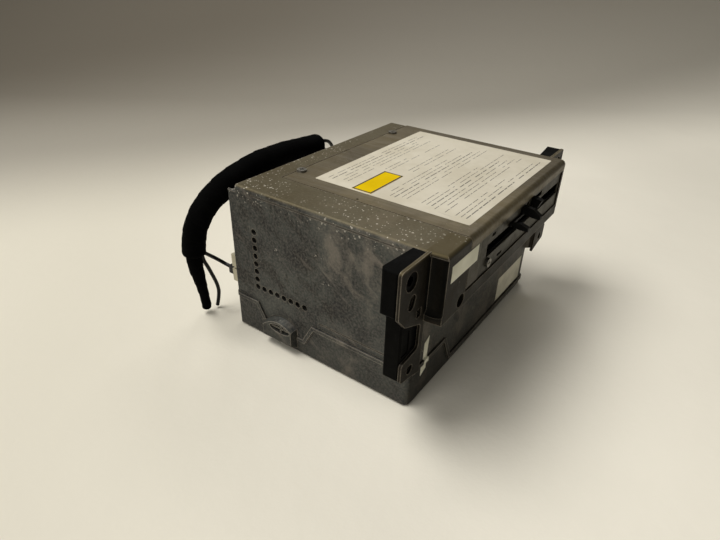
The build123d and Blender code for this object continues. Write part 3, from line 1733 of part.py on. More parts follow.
save("hard_drive", hard_drive())
save("disk_bracket", disk_bracket())
save("main_board", main_board())
save("shield_cans", *shield_cans())
save("processor", processor())
save("thermal_pad", thermal_pad())
save("heat_sink", heat_sink())
save("capacitors", *capacitors())
save("tuner_module", tuner_module())
save("main_header", main_header())
save("header_pins", *header_pins())
save("harness_plug", harness_plug())
save("coax_sockets", coax_sockets())
save("antenna_plug", antenna_plug())
save("fan_frame", fan_frame())
save("fan_rotor", fan_rotor())
save("cover_screws", *cover_screws())
save("base_screws", *base_screws())
save("inner_screws", *inner_screws())
save("rear_screws", *rear_screws())
save("plate_screw", plate_screw())
save("harness_trunk", tube("trunk", trunk_route, trunk_diameter))
save("harness_tail", tube("tail", tail_route, tail_diameter))
save("antenna_lead", tube("antenna lead", antenna_route, lead_diameter))
save("return_lead", tube("return lead", return_route, lead_diameter))
save("harness_lead_a", tube("lead a", lead_a_route, lead_diameter))
save("harness_lead_b", tube("lead b", lead_b_route, lead_diameter))
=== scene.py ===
"""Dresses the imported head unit: materials, label print, taped loom, stage, lights, camera."""
import json
import math

import bpy
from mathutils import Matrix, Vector, noise


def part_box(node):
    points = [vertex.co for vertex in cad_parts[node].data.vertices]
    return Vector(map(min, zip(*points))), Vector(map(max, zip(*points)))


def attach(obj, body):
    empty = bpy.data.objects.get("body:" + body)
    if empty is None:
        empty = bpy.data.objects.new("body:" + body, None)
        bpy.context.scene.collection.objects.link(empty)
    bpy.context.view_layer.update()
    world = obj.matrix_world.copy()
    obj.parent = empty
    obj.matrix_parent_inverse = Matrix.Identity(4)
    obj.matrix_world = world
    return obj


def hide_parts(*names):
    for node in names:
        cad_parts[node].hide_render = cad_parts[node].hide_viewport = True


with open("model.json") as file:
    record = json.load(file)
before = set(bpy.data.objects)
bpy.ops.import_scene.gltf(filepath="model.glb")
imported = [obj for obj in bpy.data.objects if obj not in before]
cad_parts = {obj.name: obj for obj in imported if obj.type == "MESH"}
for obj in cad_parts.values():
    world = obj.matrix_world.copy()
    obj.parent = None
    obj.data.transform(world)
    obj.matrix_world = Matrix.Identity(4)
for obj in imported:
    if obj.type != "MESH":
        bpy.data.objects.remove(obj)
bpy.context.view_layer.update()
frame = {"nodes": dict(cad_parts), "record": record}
scene = bpy.context.scene
nodes = frame["nodes"]

# Where tints and painted shade of the case begin and where they are full, in metres
REAR_TO_FRONT_Y = (0.045, -0.055)
UPPER_FRONT_SHADE_Y = (-0.0655, -0.0661)
LOWER_FRONT_SHADE_Y = (-0.0626, -0.0633)
FLOOR_SHADE_Z = (0.03, 0.0)
DECK_Z = (0.1066, 0.1082)
CRUST_Z = (0.092, 0.107)
HOLLOW_SHADE_EDGES = (("X", (-0.0868, -0.0874)), ("X", (-0.0912, -0.0902)),
                ("Z", (0.067, 0.071)), ("Z", (0.107, 0.105)))
COVER_LIP_SHADE_Y = (-0.0765, -0.0775)
COVER_LIP_SHADE_Z = (0.103, 0.1)

PRINT_THICKNESS = 0.00002
LEAD_RADIUS = 0.00135
LAMP_SIZE = (0.8, 0.6)


def srgb(text):
    """Linear colour from a hex code."""
    parts = [int(text[i:i + 2], 16) / 255 for i in (1, 3, 5)]
    return [p / 12.92 if p <= 0.04045 else ((p + 0.055) / 1.055) ** 2.4 for p in parts] + [1.0]


# Materials

class Paint:
    """A node material, built up in object coordinates (metres)."""

    def __init__(self, name, rough=0.5, metal=0.0, specular=0.5):
        self.mat = bpy.data.materials.new(name)
        self.mat.use_nodes = True
        self.tree = self.mat.node_tree
        self.shader = self.tree.nodes["Principled BSDF"]
        self.shader.inputs["Roughness"].default_value = rough
        self.shader.inputs["Metallic"].default_value = metal
        self.shader.inputs["Specular IOR Level"].default_value = specular
        self.place = self.tree.nodes.new("ShaderNodeTexCoord").outputs["Object"]
        self.normal = None

    def add(self, kind, **values):
        node = self.tree.nodes.new(kind)
        for key, value in values.items():
            setattr(node, key, value)
        return node

    def link(self, source, target):
        if isinstance(source, (int, float)):
            target.default_value = source
        elif isinstance(source, str):
            target.default_value = srgb(source)
        else:
            self.tree.links.new(source, target)

    def stretched(self, factors, turn=(0, 0, 0)):
        node = self.add("ShaderNodeMapping")
        node.inputs["Scale"].default_value = factors
        node.inputs["Rotation"].default_value = turn
        self.link(self.place, node.inputs["Vector"])
        return node.outputs["Vector"]

    def drawn(self, turn, factor):
        """Coordinates turned about X and drawn out along the turned Y axis."""
        node = self.add("ShaderNodeMapping", vector_type="TEXTURE")
        node.inputs["Rotation"].default_value = (turn, 0, 0)
        node.inputs["Scale"].default_value = (1, factor, 1)
        self.link(self.place, node.inputs["Vector"])
        return node.outputs["Vector"]

    def noise(self, scale, detail=4.0, rough=0.55, warp=0.0, place=None):
        node = self.add("ShaderNodeTexNoise")
        node.inputs["Scale"].default_value = scale
        node.inputs["Detail"].default_value = detail
        node.inputs["Roughness"].default_value = rough
        node.inputs["Distortion"].default_value = warp
        self.link(place or self.place, node.inputs["Vector"])
        return node.outputs["Fac"]

    def cells(self, scale, place=None):
        """Distance to the nearest of many scattered points."""
        node = self.add("ShaderNodeTexVoronoi", feature="F1")
        node.inputs["Scale"].default_value = scale
        self.link(place or self.place, node.inputs["Vector"])
        return node.outputs["Distance"]

    def wave(self, scale, warp, direction):
        node = self.add("ShaderNodeTexWave", bands_direction=direction)
        node.inputs["Scale"].default_value = scale
        node.inputs["Distortion"].default_value = warp
        self.link(self.place, node.inputs["Vector"])
        return node.outputs["Fac"]

    def axis(self, letter):
        node = self.add("ShaderNodeSeparateXYZ")
        self.link(self.place, node.inputs[0])
        return node.outputs[letter]

    def step(self, value, low, high, to_low=0.0, to_high=1.0):
        """Value mapped from low..high to to_low..to_high, smooth and clamped."""
        node = self.add("ShaderNodeMapRange", interpolation_type="SMOOTHSTEP")
        for key, number in zip(("From Min", "From Max", "To Min", "To Max"),
                               (low, high, to_low, to_high)):
            node.inputs[key].default_value = number
        self.link(value, node.inputs["Value"])
        return node.outputs["Result"]

    def calc(self, kind, a, b=0.0):
        node = self.add("ShaderNodeMath", operation=kind)
        self.link(a, node.inputs[0])
        self.link(b, node.inputs[1])
        return node.outputs[0]

    def mix(self, share, a, b, blend="MIX"):
        node = self.add("ShaderNodeMix", data_type="RGBA", blend_type=blend)
        self.link(share, node.inputs["Factor"])
        self.link(a, node.inputs["A"])
        self.link(b, node.inputs["B"])
        return node.outputs["Result"]

    def edges(self, size):
        """0 on flat faces, rising towards 1 on edges."""
        bevel = self.add("ShaderNodeBevel", samples=6)
        bevel.inputs["Radius"].default_value = size
        face = self.add("ShaderNodeNewGeometry")
        dot = self.add("ShaderNodeVectorMath", operation="DOT_PRODUCT")
        self.link(bevel.outputs["Normal"], dot.inputs[0])
        self.link(face.outputs["Normal"], dot.inputs[1])
        return self.step(dot.outputs["Value"], 0.995, 0.75)

    def bump(self, height, strength, depth):
        node = self.add("ShaderNodeBump")
        node.inputs["Strength"].default_value = strength
        node.inputs["Distance"].default_value = depth
        self.link(height, node.inputs["Height"])
        if self.normal is not None:
            self.link(self.normal, node.inputs["Normal"])
        self.normal = node.outputs["Normal"]

    def done(self, color, rough=None):
        """The finished material; without rough it keeps the roughness it was made with."""
        self.link(color, self.shader.inputs["Base Color"])
        if rough is not None:
            self.link(rough, self.shader.inputs["Roughness"])
        if self.normal is not None:
            self.link(self.normal, self.shader.inputs["Normal"])
        return self.mat


def die_cast(name, rim=False):
    """Old die-cast alloy: cloudy greys, flow marks, stains, scratches and white specks, with
    painted shade on the front faces and near the floor (and, on the rim casting, in the hollow
    beside the left ear), and edges lightened for wear and a painted highlight.
    """
    p = Paint(name, metal=0.45, specular=0.12)
    wide = p.noise(13, 3, 0.5, 0.3)
    clouds = p.noise(34, 6, 0.66, 0.25, p.drawn(0.6, 1.25))
    patches = p.noise(60, 8, 0.72, 0.35, p.drawn(0.9, 1.35))
    drag = p.noise(160, 4, 0.6, 0.2, p.drawn(0.62, 5.0))
    fine = p.noise(600, 5, 0.7)
    toward_front = p.step(p.axis("Y"), *REAR_TO_FRONT_Y, -0.06, 0.05)
    light = p.calc("ADD", patches, p.calc("ADD", toward_front, p.step(wide, 0.3, 0.7, -0.08, 0.08)))
    color = p.mix(p.step(clouds, 0.36, 0.64), "#2b2d2e", "#494c49")
    color = p.mix(p.step(light, 0.5, 0.7, 0.0, 0.75), color, "#787269")
    color = p.mix(p.step(light, 0.45, 0.3, 0.0, 0.85), color, "#212222")
    color = p.mix(p.step(drag, 0.58, 0.76, 0.0, 0.3), color, "#948b81")
    color = p.mix(p.step(drag, 0.42, 0.26, 0.0, 0.4), color, "#242424")
    color = p.mix(p.step(fine, 0.36, 0.72, 0.0, 0.3), color, "#8f877d")
    # Painted shade near the floor: darker towards the bottom, broken up by the clouds
    low = p.step(p.axis("Z"), *FLOOR_SHADE_Z, 0.0, 0.45)
    color = p.mix(p.calc("MULTIPLY", low, p.step(clouds, 0.35, 0.6)), color, "#242320")
    specks = p.step(p.cells(430), 0.2, 0.11)
    where = p.step(p.noise(38, 3, 0.5), 0.6, 0.74, 0.0, 0.7)
    # Painted shade on the front faces, which are turned away from the lamps; the upper front gets
    # the most
    front = p.step(p.axis("Y"), *UPPER_FRONT_SHADE_Y)
    lower_front_shade = p.step(p.axis("Y"), *LOWER_FRONT_SHADE_Y, 0.0, 0.2 if rim else 0.45)
    color = p.mix(lower_front_shade, color, "#1c170d")
    color = p.mix(p.calc("MULTIPLY", front, 0.86), color, "#150f05")
    if rim:
        deck = p.step(p.axis("Z"), *DECK_Z)
        color = p.mix(p.calc("MULTIPLY", deck, 0.66), color, "#5e543a")
        near_top = p.step(p.axis("Z"), *CRUST_Z, 0.0, 0.7)
        crust = p.calc("MULTIPLY", near_top, p.step(p.noise(24, 3), 0.42, 0.55))
        where = p.calc("MAXIMUM", where, crust)
        specks = p.calc("MAXIMUM", specks, p.step(p.cells(240), 0.17, 0.12))
        # Painted shade in the hollow beside the left ear on the upper front
        hollow_shade = front
        for letter, edge in HOLLOW_SHADE_EDGES:
            hollow_shade = p.calc("MULTIPLY", hollow_shade, p.step(p.axis(letter), *edge))
        color = p.mix(p.calc("MULTIPLY", hollow_shade, 0.8), color, "#0e0f0d")
    spots = p.calc("MULTIPLY", specks, where)
    color = p.mix(spots, color, "#cdc7ba")
    # Edges lightened: partly rubbed wear, partly a painted highlight where rounded edges catch the
    # light
    wear_and_highlight = p.calc("MULTIPLY", p.edges(0.0011), p.step(clouds, 0.3, 0.55, 0.3, 0.85))
    color = p.mix(wear_and_highlight, color, "#8e8679" if rim else "#a69e92")
    p.bump(p.noise(1700, 4, 0.7), 0.3, 0.0001)
    p.bump(clouds, 0.15, 0.0004)
    rough = p.calc("ADD", p.step(patches, 0.3, 0.7, 0.46, 0.62), p.calc("MULTIPLY", spots, 0.2))
    return p.done(color, rough)


def steel(name, tone, shade, grain=(1.0, 0.03, 1.0), rough=(0.34, 0.52), metal=0.85, specks=0.0,
          brush=0.12, painted_lip_shade=False):
    """Rolled sheet steel with a dull coat, handling marks and a faint grain; painted_lip_shade adds
    painted shade on the cover's front lip.
    """
    p = Paint(name, metal=metal)
    clouds = p.noise(16, 5, 0.55, 0.4)
    streaks = p.noise(420, 3, 0.6, 0.0, p.stretched(grain))
    smears = p.noise(50, 5, 0.65, 1.2)
    color = p.mix(p.step(clouds, 0.32, 0.7), shade, tone)
    color = p.mix(p.step(streaks, 0.4, 0.65, 0.0, brush), color, "#ffffff")
    color = p.mix(p.step(smears, 0.54, 0.72, 0.0, 0.3), color, shade)
    if specks:
        dots = p.step(p.cells(520), 0.2, 0.1)
        dots = p.calc("MULTIPLY", dots, p.step(p.noise(30, 3), 0.52, 0.64))
        color = p.mix(p.calc("MULTIPLY", dots, specks), color, "#b5ae9e")
    if painted_lip_shade:
        # Painted shade on the cover's front lip, below its top
        lip = p.step(p.axis("Y"), *COVER_LIP_SHADE_Y)
        lip = p.calc("MULTIPLY", lip, p.step(p.axis("Z"), *COVER_LIP_SHADE_Z))
        color = p.mix(p.calc("MULTIPLY", lip, 0.8), color, "#1f1b12")
    color = p.mix(p.calc("MULTIPLY", p.edges(0.0006), 0.4), color, "#9c9483")
    p.bump(streaks, 0.04, 0.00004)
    return p.done(color, p.step(smears, 0.35, 0.7, rough[0], rough[1]))


def plastic(name, tone, shade, rough=(0.42, 0.6), grain=1300, dust=0.0, specular=0.4):
    """Moulded plastic with a fine spark-eroded grain, rubbed edges and a little dust."""
    p = Paint(name, specular=specular)
    clouds = p.noise(40, 4, 0.6)
    color = p.mix(p.step(clouds, 0.35, 0.65), shade, tone)
    if dust:
        motes = p.calc("MULTIPLY", p.step(p.noise(900, 4, 0.75), 0.62, 0.74), dust)
        color = p.mix(p.calc("MULTIPLY", motes, p.step(clouds, 0.4, 0.6)), color, "#7d776c")
        color = p.mix(p.calc("MULTIPLY", p.edges(0.0007), dust), color, "#5b564c")
    p.bump(p.noise(grain, 3, 0.6), 0.14, 0.00006)
    return p.done(color, p.step(p.noise(120, 4, 0.6), 0.3, 0.7, rough[0], rough[1]))


def paper(name, tone, shade, rough=0.5, marks=0.25, specular=0.35):
    """Printed film label: slight yellowing, rubs and short scratches."""
    p = Paint(name, specular=specular)
    clouds = p.noise(30, 4, 0.6)
    rubs = p.noise(300, 5, 0.7, 0.0, p.stretched((1.0, 0.25, 1.0), (0, 0, 0.6)))
    color = p.mix(p.step(clouds, 0.35, 0.7), tone, shade)
    color = p.mix(p.step(rubs, 0.62, 0.7, 0.0, marks), color, "#8f8a7e")
    p.bump(rubs, 0.05, 0.00005)
    return p.done(color, p.step(clouds, 0.3, 0.7, rough - 0.08, rough + 0.08))


def cloth_tape(name):
    """Black fleece-like wiring tape, woven, with pale lint."""
    p = Paint(name, rough=0.95, specular=0.04)
    fuzz = p.noise(1500, 4, 0.75)
    weave = p.calc("MULTIPLY", p.wave(230, 0.8, "DIAGONAL"), p.wave(230, 0.8, "Z"))
    tone = p.mix(p.step(p.noise(70, 4, 0.6), 0.35, 0.7), "#020202", "#050505")
    tone = p.mix(p.step(fuzz, 0.5, 0.75, 0.0, 0.2), tone, "#121111")
    lint = p.calc("MULTIPLY", p.step(p.noise(2600, 2, 0.5), 0.72, 0.8), 0.2)
    tone = p.mix(lint, tone, "#5c5952")
    p.bump(weave, 0.3, 0.0002)
    p.bump(fuzz, 0.5, 0.00018)
    return p.done(tone)


def sheath(name, tone="#060606"):
    """Soft black cable sheath or rubber with rubbed places."""
    p = Paint(name, specular=0.25)
    scuffs = p.noise(260, 5, 0.7)
    color = p.mix(p.step(scuffs, 0.45, 0.75, 0.0, 0.25), tone, "#1d1c18")
    p.bump(p.noise(900, 3), 0.15, 0.00006)
    return p.done(color, p.step(scuffs, 0.35, 0.7, 0.32, 0.55))


def board_material():
    """Green circuit board with faint tracks and pads, alike on its whole thickness."""
    p = Paint("solder_mask", rough=0.35)
    upright = (1, 1, 0.02)
    tracks = p.step(p.cells(260, p.stretched(upright)), 0.25, 0.32)
    color = p.mix(p.calc("MULTIPLY", tracks, 0.4), "#0f3a22", "#1d5a35")
    pads = p.step(p.cells(520, p.stretched(upright)), 0.16, 0.12)
    color = p.mix(p.calc("MULTIPLY", pads, 0.7), color, "#b9b29a")
    p.bump(tracks, 0.2, 0.00005)
    return p.done(color)


MATERIALS = {
    "casting": die_cast("die_cast_top", rim=True),
    "base_casting": die_cast("die_cast_base"),
    "cover_steel": steel("cover_sheet", "#675c42", "#4e4531", rough=(0.42, 0.55), metal=0.6,
                         specks=0.35, brush=0.03, painted_lip_shade=True),
    "sheet_steel": steel("zinc_sheet", "#9a9890", "#74726b"),
    "dark_plate": steel("drive_front_sheet", "#393528", "#27241b", rough=(0.5, 0.62), metal=0.5,
                        brush=0.02),
    "bright_steel": steel("ground_steel", "#b4b3ae", "#8f8e89", grain=(0.05, 1.0, 1.0),
                          rough=(0.2, 0.32), metal=1.0),
    "motor_can": steel("motor_can_plate", "#a5a39b", "#84827a", rough=(0.25, 0.4), metal=0.95),
    "drive_alloy": steel("drive_alloy_cast", "#9b9b98", "#7b7b78", rough=(0.4, 0.55), metal=0.8),
    "sink_alloy": steel("anodised_fins", "#3a3a3c", "#2a2a2c", grain=(1.0, 1.0, 0.05),
                        rough=(0.4, 0.5), metal=0.7),
    "screw_steel": steel("screw_zinc", "#85827a", "#5f5c54", rough=(0.3, 0.45), metal=0.9,
                         specks=0.4),
    "pinion_brass": steel("pinion_brass_cut", "#b08d4a", "#8e6f37", grain=(0.05, 1.0, 1.0),
                          rough=(0.25, 0.38), metal=1.0),
    "pin_metal": steel("tinned_pins", "#b8b29f", "#938d7a", rough=(0.25, 0.38), metal=1.0),
    "block_plastic": plastic("block_black", "#040403", "#020202", (0.6, 0.75), dust=0.08,
                             specular=0.05),
    "claw_plastic": plastic("claw_black", "#050504", "#030303", (0.5, 0.65), dust=0.1,
                            specular=0.1),
    "inner_plastic": plastic("inner_black", "#1c1c1f", "#131316"),
    "white_plastic": plastic("acetal_white", "#d9d8d0", "#c9c7bd", (0.35, 0.45)),
    "chip_black": plastic("epoxy_black", "#18181a", "#101012", (0.5, 0.6)),
    "header_white": plastic("header_natural", "#d6d2c4", "#c5c0b0", (0.35, 0.5)),
    "plug_grey": plastic("plug_grey_nylon", "#4b4b4c", "#3a3a3b", (0.4, 0.5)),
    "socket_cream": plastic("socket_cream_nylon", "#cbc4ab", "#b9b196", (0.4, 0.55)),
    "plug_black": plastic("plug_black_nylon", "#171718", "#0f0f10", (0.35, 0.5)),
    "fan_black": plastic("fan_black_nylon", "#19191b", "#121214", (0.4, 0.5)),
    "lens_black": plastic("lens_gloss", "#101018", "#08080c", (0.08, 0.14), grain=300),
    "label_paper": paper("label_film", "#cfc8b6", "#c2baa6"),
    "patch_paper": paper("patch_film", "#dcbb00", "#d0ae00", marks=0.04, specular=0.02),
    "sticker_paper": paper("sticker_film", "#e6e4d1", "#cfcdb9", marks=0.3),
    "badge_paper": paper("badge_foil", "#ded9c4", "#bab5a1", rough=0.4, marks=0.45),
    "felt": cloth_tape("slot_felt"),
    "soft_rubber": sheath("soft_rubber_black", "#141414"),
    "pad_grey": plastic("pad_silicone", "#8a8b90", "#77787d", (0.6, 0.7)),
    "board_green": board_material(),
    "cloth_tape": cloth_tape("wiring_tape"),
    "cable_black": sheath("cable_sheath"),
}
slot_of = {row["node"]: row["material_slot"] for row in frame["record"]["subparts"]}
for node_name, obj in nodes.items():
    obj.data.materials.clear()
    obj.data.materials.append(MATERIALS[slot_of[node_name]])


# Small printed details, laid on the labels

def new_object(name, verts, faces, mat):
    """Mesh object that rides on the case."""
    mesh = bpy.data.meshes.new(name)
    mesh.from_pydata([tuple(v) for v in verts], [], faces)
    mesh.update()
    obj = bpy.data.objects.new(name, mesh)
    scene.collection.objects.link(obj)
    mesh.materials.append(mat)
    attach(obj, "case")
    return obj


def plates(name, rows, z, mat):
    """Thin closed plates in one object; rows are (x0, x1, y0, y1) in metres."""
    verts, faces = [], []
    for x0, x1, y0, y1 in rows:
        n = len(verts)
        for level in (z, z + PRINT_THICKNESS):
            verts += [(x0, y0, level), (x1, y0, level), (x1, y1, level), (x0, y1, level)]
        faces += [(n, n + 3, n + 2, n + 1), (n + 4, n + 5, n + 6, n + 7)]
        faces += [(n + i, n + (i + 1) % 4, n + 4 + (i + 1) % 4, n + 4 + i) for i in range(4)]
    new_object(name, verts, faces, mat)


def text_bars(low, high):
    """Rules in the place of small print: rows in blocks of seven, cut up like words."""
    wide = high.x - low.x
    deep = high.y - low.y
    rows, block, empty_rows = 30, 7, (11, 20, 21)
    bars = []
    for k in range(rows):
        if k % block == 3 or k in empty_rows:
            continue
        y = low.y + deep * (0.045 + 0.031 * k)
        x = low.x + wide * (0.05 + 0.02 * (k // block % 2))
        end = low.x + wide * (0.93 - 0.13 * ((k * 5) % 4) / 3 - 0.25 * (k % block == 2))
        height = deep * (0.0042 if k % block else 0.0065)
        word = k
        while x < end:
            word += 1
            run = wide * (0.018 + 0.012 * ((word * 7 + k * 3) % 5))
            if (word + k) % 11:
                bars.append((x, min(x + run, end), y, y + height))
            x += run + wide * (0.009 if word % 6 else 0.03)
    return bars


ink = plastic("label_ink", "#514f49", "#66635b", (0.5, 0.6), grain=800)
dark_ink = plastic("patch_ink", "#201f1c", "#2c2a25", (0.45, 0.55), grain=800)
label_low, label_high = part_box("cover_label")
patch_low, patch_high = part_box("cover_patch")
clear = 0.003
label_bars = [bar for bar in text_bars(label_low, label_high)
              if bar[1] < patch_low.x - clear or bar[0] > patch_high.x + clear
              or bar[3] < patch_low.y - clear or bar[2] > patch_high.y + clear]
plates("label_rules", label_bars, label_high.z, ink)
margin, border = 0.0001, 0.0011
left, right = patch_low.x + margin, patch_high.x - margin
near, far = patch_low.y + margin, patch_high.y - margin
border_bars = [(left, right, near, near + border), (left, right, far - border, far),
               (left, left + border, near, far), (right - border, right, near, far)]
plates("patch_rules", border_bars, patch_high.z, dark_ink)


# Cable loom. The routes repeat the points of the part's source, in metres

TRUNK = [(0.014, 0.08845, 0.1038), (-0.006, 0.08875, 0.106), (-0.028, 0.08835, 0.1075),
         (-0.048, 0.08915, 0.1065), (-0.066, 0.09115, 0.1026), (-0.081, 0.09365, 0.0964),
         (-0.093, 0.09665, 0.0876), (-0.1, 0.09965, 0.0755), (-0.1022, 0.10215, 0.0635),
         (-0.1026, 0.10315, 0.053)]
TAIL = [(-0.1026, 0.10315, 0.053), (-0.1026, 0.1037, 0.0455), (-0.101, 0.10395, 0.0355),
        (-0.0992, 0.10435, 0.0248), (-0.0974, 0.10495, 0.014), (-0.0966, 0.10555, 0.0044)]
ANTENNA = [(-0.0975, 0.1048, 0.0545), (-0.0942, 0.1056, 0.0505), (-0.0895, 0.1063, 0.0462),
           (-0.0848, 0.1064, 0.0418), (-0.0806, 0.1057, 0.0377), (-0.0775, 0.10385, 0.0343),
           (-0.0765, 0.1008, 0.033), (-0.0765, 0.09635, 0.033)]
RETURN = [(-0.0976, 0.10125, 0.053), (-0.0970, 0.1018, 0.047), (-0.0934, 0.10195, 0.039),
          (-0.09, 0.10235, 0.03), (-0.0866, 0.10275, 0.0205), (-0.0854, 0.10335, 0.0115),
          (-0.0878, 0.10435, 0.0022)]
LEAD_A = [(0.0143, 0.08695, 0.10677), (0.02325, 0.08681, 0.10578), (0.031, 0.08835, 0.099),
          (0.038, 0.09135, 0.091), (0.0415, 0.09535, 0.08), (0.042, 0.10035, 0.068),
          (0.041, 0.10635, 0.057), (0.04, 0.11135, 0.046), (0.039, 0.11575, 0.0375),
          (0.0383, 0.11515, 0.0304), (0.038, 0.11035, 0.0256), (0.038, 0.10335, 0.0256)]
LEAD_B = [(0.01371, 0.09095, 0.10083), (0.02067, 0.09085, 0.10007), (0.027, 0.09135, 0.095),
          (0.03, 0.09435, 0.086), (0.0315, 0.09835, 0.076), (0.0315, 0.10335, 0.065),
          (0.0308, 0.10835, 0.054), (0.0303, 0.11295, 0.044), (0.03, 0.11575, 0.036),
          (0.03, 0.11515, 0.0304), (0.03, 0.11035, 0.0256), (0.03, 0.10335, 0.0256)]


def spline(name, route, radius=0.0, steps=16):
    """Smooth curve along the route; with a radius it is a round lead with closed ends."""
    data = bpy.data.curves.new(name, "CURVE")
    data.dimensions = "3D"
    line = data.splines.new("NURBS")
    line.points.add(len(route) - 1)
    for point, place in zip(line.points, route):
        point.co = (*place, 1.0)
    line.order_u = 3
    line.use_endpoint_u = True
    data.resolution_u = steps
    data.bevel_depth = radius
    data.bevel_resolution = 5
    data.use_fill_caps = True
    obj = bpy.data.objects.new(name, data)
    scene.collection.objects.link(obj)
    return obj


def thin_lead(name, route, node):
    """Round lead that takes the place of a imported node."""
    obj = spline(name, route, LEAD_RADIUS)
    obj.data.materials.append(MATERIALS["cable_black"])
    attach(obj, "case")
    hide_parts(node)
    return obj


def centre_line(route, name):
    """Points along the route's smooth line."""
    curve = spline(name, route, steps=26)
    mesh = bpy.data.meshes.new_from_object(curve)
    points = [v.co.copy() for v in mesh.vertices]
    bpy.data.objects.remove(curve)
    bpy.data.meshes.remove(mesh)
    return points


def taped_tube(name, route, radius_at, wrap, seed, node):
    """Tube wound with overlapping tape: a soft step runs round it at each turn of the tape."""
    sides = 40
    tape_step, tape_fall = 0.00045, 0.1
    sink, lump_height, crease_height = 0.0003, 0.00045, 0.00016
    end_round = 0.35
    line = centre_line(route, name + "_line")
    total = sum((b - a).length for a, b in zip(line, line[1:]))
    side = (line[1] - line[0]).orthogonal().normalized()
    verts, gone = [], 0.0
    for k, point in enumerate(line):
        ahead = line[min(k + 1, len(line) - 1)] - line[max(k - 1, 0)]
        way = ahead.normalized()
        side = (side - way * side.dot(way)).normalized()
        other = way.cross(side)
        if k:
            gone += (point - line[k - 1]).length
        base = radius_at(gone / total)
        for s in range(sides):
            turn = math.tau * s / sides
            phase = (gone / wrap + s / sides) % 1.0
            lip = tape_step * min(1.0, (1.0 - phase) / tape_fall) * (0.35 + 0.65 * phase)
            out = side * math.cos(turn) + other * math.sin(turn)
            lump = noise.noise(Vector((gone * 60 + seed, math.cos(turn) * 0.9,
                                       math.sin(turn) * 0.9)))
            crease = noise.noise(Vector((gone * 320 + seed, turn * 1.3, seed)))
            r = base + lip - sink + lump_height * lump + crease_height * crease
            edge = min(gone, total - gone) / (base * end_round)
            if edge < 1.0:
                r *= 0.8 + 0.2 * math.sqrt(max(0.0, 1 - (1 - edge) ** 2))
            verts.append(point + out * r)
    faces = []
    for k in range(len(line) - 1):
        for s in range(sides):
            a, b = k * sides + s, k * sides + (s + 1) % sides
            faces.append((a, b, b + sides, a + sides))
    faces.append(tuple(reversed(range(sides))))
    faces.append(tuple(range(len(verts) - sides, len(verts))))
    obj = new_object(name, verts, faces, MATERIALS["cloth_tape"])
    for polygon in obj.data.polygons:
        polygon.use_smooth = len(polygon.vertices) == 4
    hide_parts(node)
    return obj, line


def trunk_radius(share):
    """About 8 mm, a little uneven; share is how far along the trunk."""
    return 0.0083 - 0.0004 * math.sin(9 * share)


def tail_radius(share):
    """5.6 mm at the trunk, down to 3.4 mm over the first three quarters."""
    return 0.0056 - 0.0022 * min(1.0, 1.3 * share)


trunk, trunk_line = taped_tube("loom_trunk", TRUNK, trunk_radius, wrap=0.0115, seed=3.0,
                               node="harness_trunk")
tail, tail_line = taped_tube("loom_tail", TAIL, tail_radius, wrap=0.009, seed=8.0,
                             node="harness_tail")
lead_a = thin_lead("loom_lead_a", LEAD_A, "harness_lead_a")
lead_b = thin_lead("loom_lead_b", LEAD_B, "harness_lead_b")
antenna = thin_lead("loom_antenna_lead", ANTENNA, "antenna_lead")
back_lead = thin_lead("loom_return_lead", RETURN, "return_lead")


# Stage, lights and camera

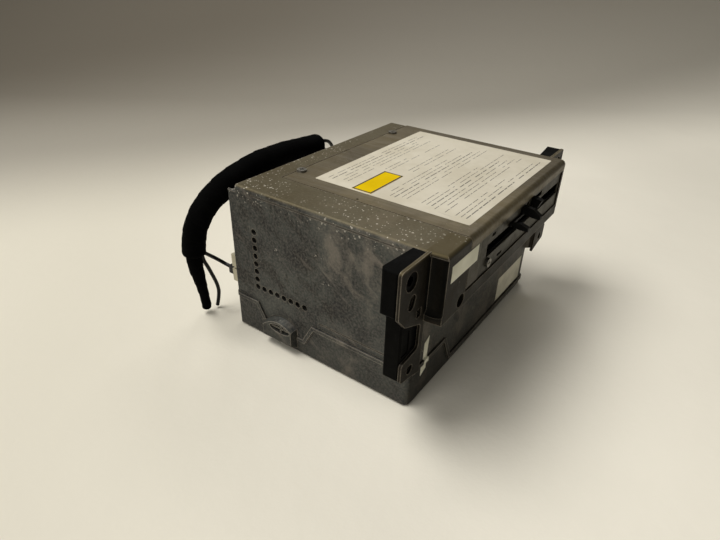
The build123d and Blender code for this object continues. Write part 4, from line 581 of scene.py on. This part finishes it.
def backdrop():
    """Pale paper sweep: flat floor that curves up far behind the object, with painted light towards
    the front right and painted shade towards the back.
    """
    bend_start, bend_radius, bend_steps = 0.5, 0.7, 12
    columns, spacing = 9, 0.8
    profile = [(-1.6, 0.0)] + [(0.15 * i - 1.0, 0.0) for i in range(10)]
    for i in range(1, bend_steps + 1):
        turn = math.pi / 2 * i / bend_steps
        profile.append((bend_start + bend_radius * math.sin(turn),
                        bend_radius - bend_radius * math.cos(turn)))
    profile.append((1.2, 2.4))
    heading = math.radians(-54.2)
    along = Vector((math.cos(heading), math.sin(heading), 0))
    away = Vector((-math.sin(heading), math.cos(heading), 0))
    verts, faces = [], []
    for distance, z in profile:
        for s in range(columns):
            flat = along * (s - columns // 2) * spacing + away * distance
            verts.append((flat.x, flat.y, z))
    for k in range(len(profile) - 1):
        for s in range(columns - 1):
            a = k * columns + s
            faces.append((a, a + 1, a + columns + 1, a + columns))
    mesh = bpy.data.meshes.new("backdrop")
    mesh.from_pydata(verts, [], faces)
    for polygon in mesh.polygons:
        polygon.use_smooth = True
    obj = bpy.data.objects.new("backdrop", mesh)
    scene.collection.objects.link(obj)
    p = Paint("backdrop_paper", rough=0.6, specular=0.25)
    clouds = p.noise(3.0, 4, 0.6)
    # Painted light: the floor is lighter towards the front right
    painted_light_across = p.calc("SUBTRACT", p.axis("X"), p.axis("Y"))
    color = p.mix(p.step(painted_light_across, -0.38, 0.12), "#d6d1c2", "#fbf6e8")
    color = p.mix(p.step(clouds, 0.3, 0.7, 0.0, 0.15), color, "#c9c4b6")
    # Painted shade: darker towards the back and up the sweep
    depth = p.calc("ADD", p.calc("MULTIPLY", p.axis("X"), 0.53),
                   p.calc("MULTIPLY", p.axis("Y"), 0.87))
    color = p.mix(p.step(depth, 0.19, 0.5), color, "#a29d92")
    color = p.mix(p.step(depth, 0.4, 0.95), color, "#6e685d")
    p.bump(p.noise(45, 4, 0.6), 0.12, 0.004)
    mesh.materials.append(p.done(color))


def lamp(name, place, aim, power, color):
    data = bpy.data.lights.new(name, "AREA")
    data.shape = "RECTANGLE"
    data.size, data.size_y = LAMP_SIZE
    data.energy = power
    data.color = color
    obj = bpy.data.objects.new(name, data)
    obj.location = place
    obj.rotation_euler = (Vector(aim) - Vector(place)).to_track_quat("-Z", "Y").to_euler()
    scene.collection.objects.link(obj)


backdrop()
lamp("top_lamp", (-0.3, 0.5, 1.1), (0, 0, 0.05), 12.5, (1.0, 0.98, 0.94))
lamp("side_lamp", (-1.2, 0.2, 0.6), (0, 0, 0.05), 4.0, (1.0, 0.98, 0.95))
lamp("front_lamp", (0.6, -1.3, 0.9), (0.1, -0.2, 0.0), 0.5, (1.0, 0.97, 0.93))
lamp("right_lamp", (1.1, 0.5, 1.0), (0.35, -0.25, 0.0), 7.5, (1.0, 0.98, 0.94))
world = bpy.data.worlds.new("studio_air")
scene.world = world
world.use_nodes = True
air = world.node_tree.nodes["Background"]
air.inputs["Color"].default_value = srgb("#d9d6ce")
air.inputs["Strength"].default_value = 0.22

camera_data = bpy.data.cameras.new("camera")
camera_data.sensor_width = 36.0
camera_data.lens = 26.83
camera_data.clip_start = 0.01
camera = bpy.data.objects.new("camera", camera_data)
camera.location = (-0.298306, -0.172147, 0.236198)
camera.rotation_euler = (math.radians(58.873), math.radians(-1.4726), math.radians(-54.2281))
scene.collection.objects.link(camera)
scene.camera = camera
scene.view_settings.view_transform = "Standard"
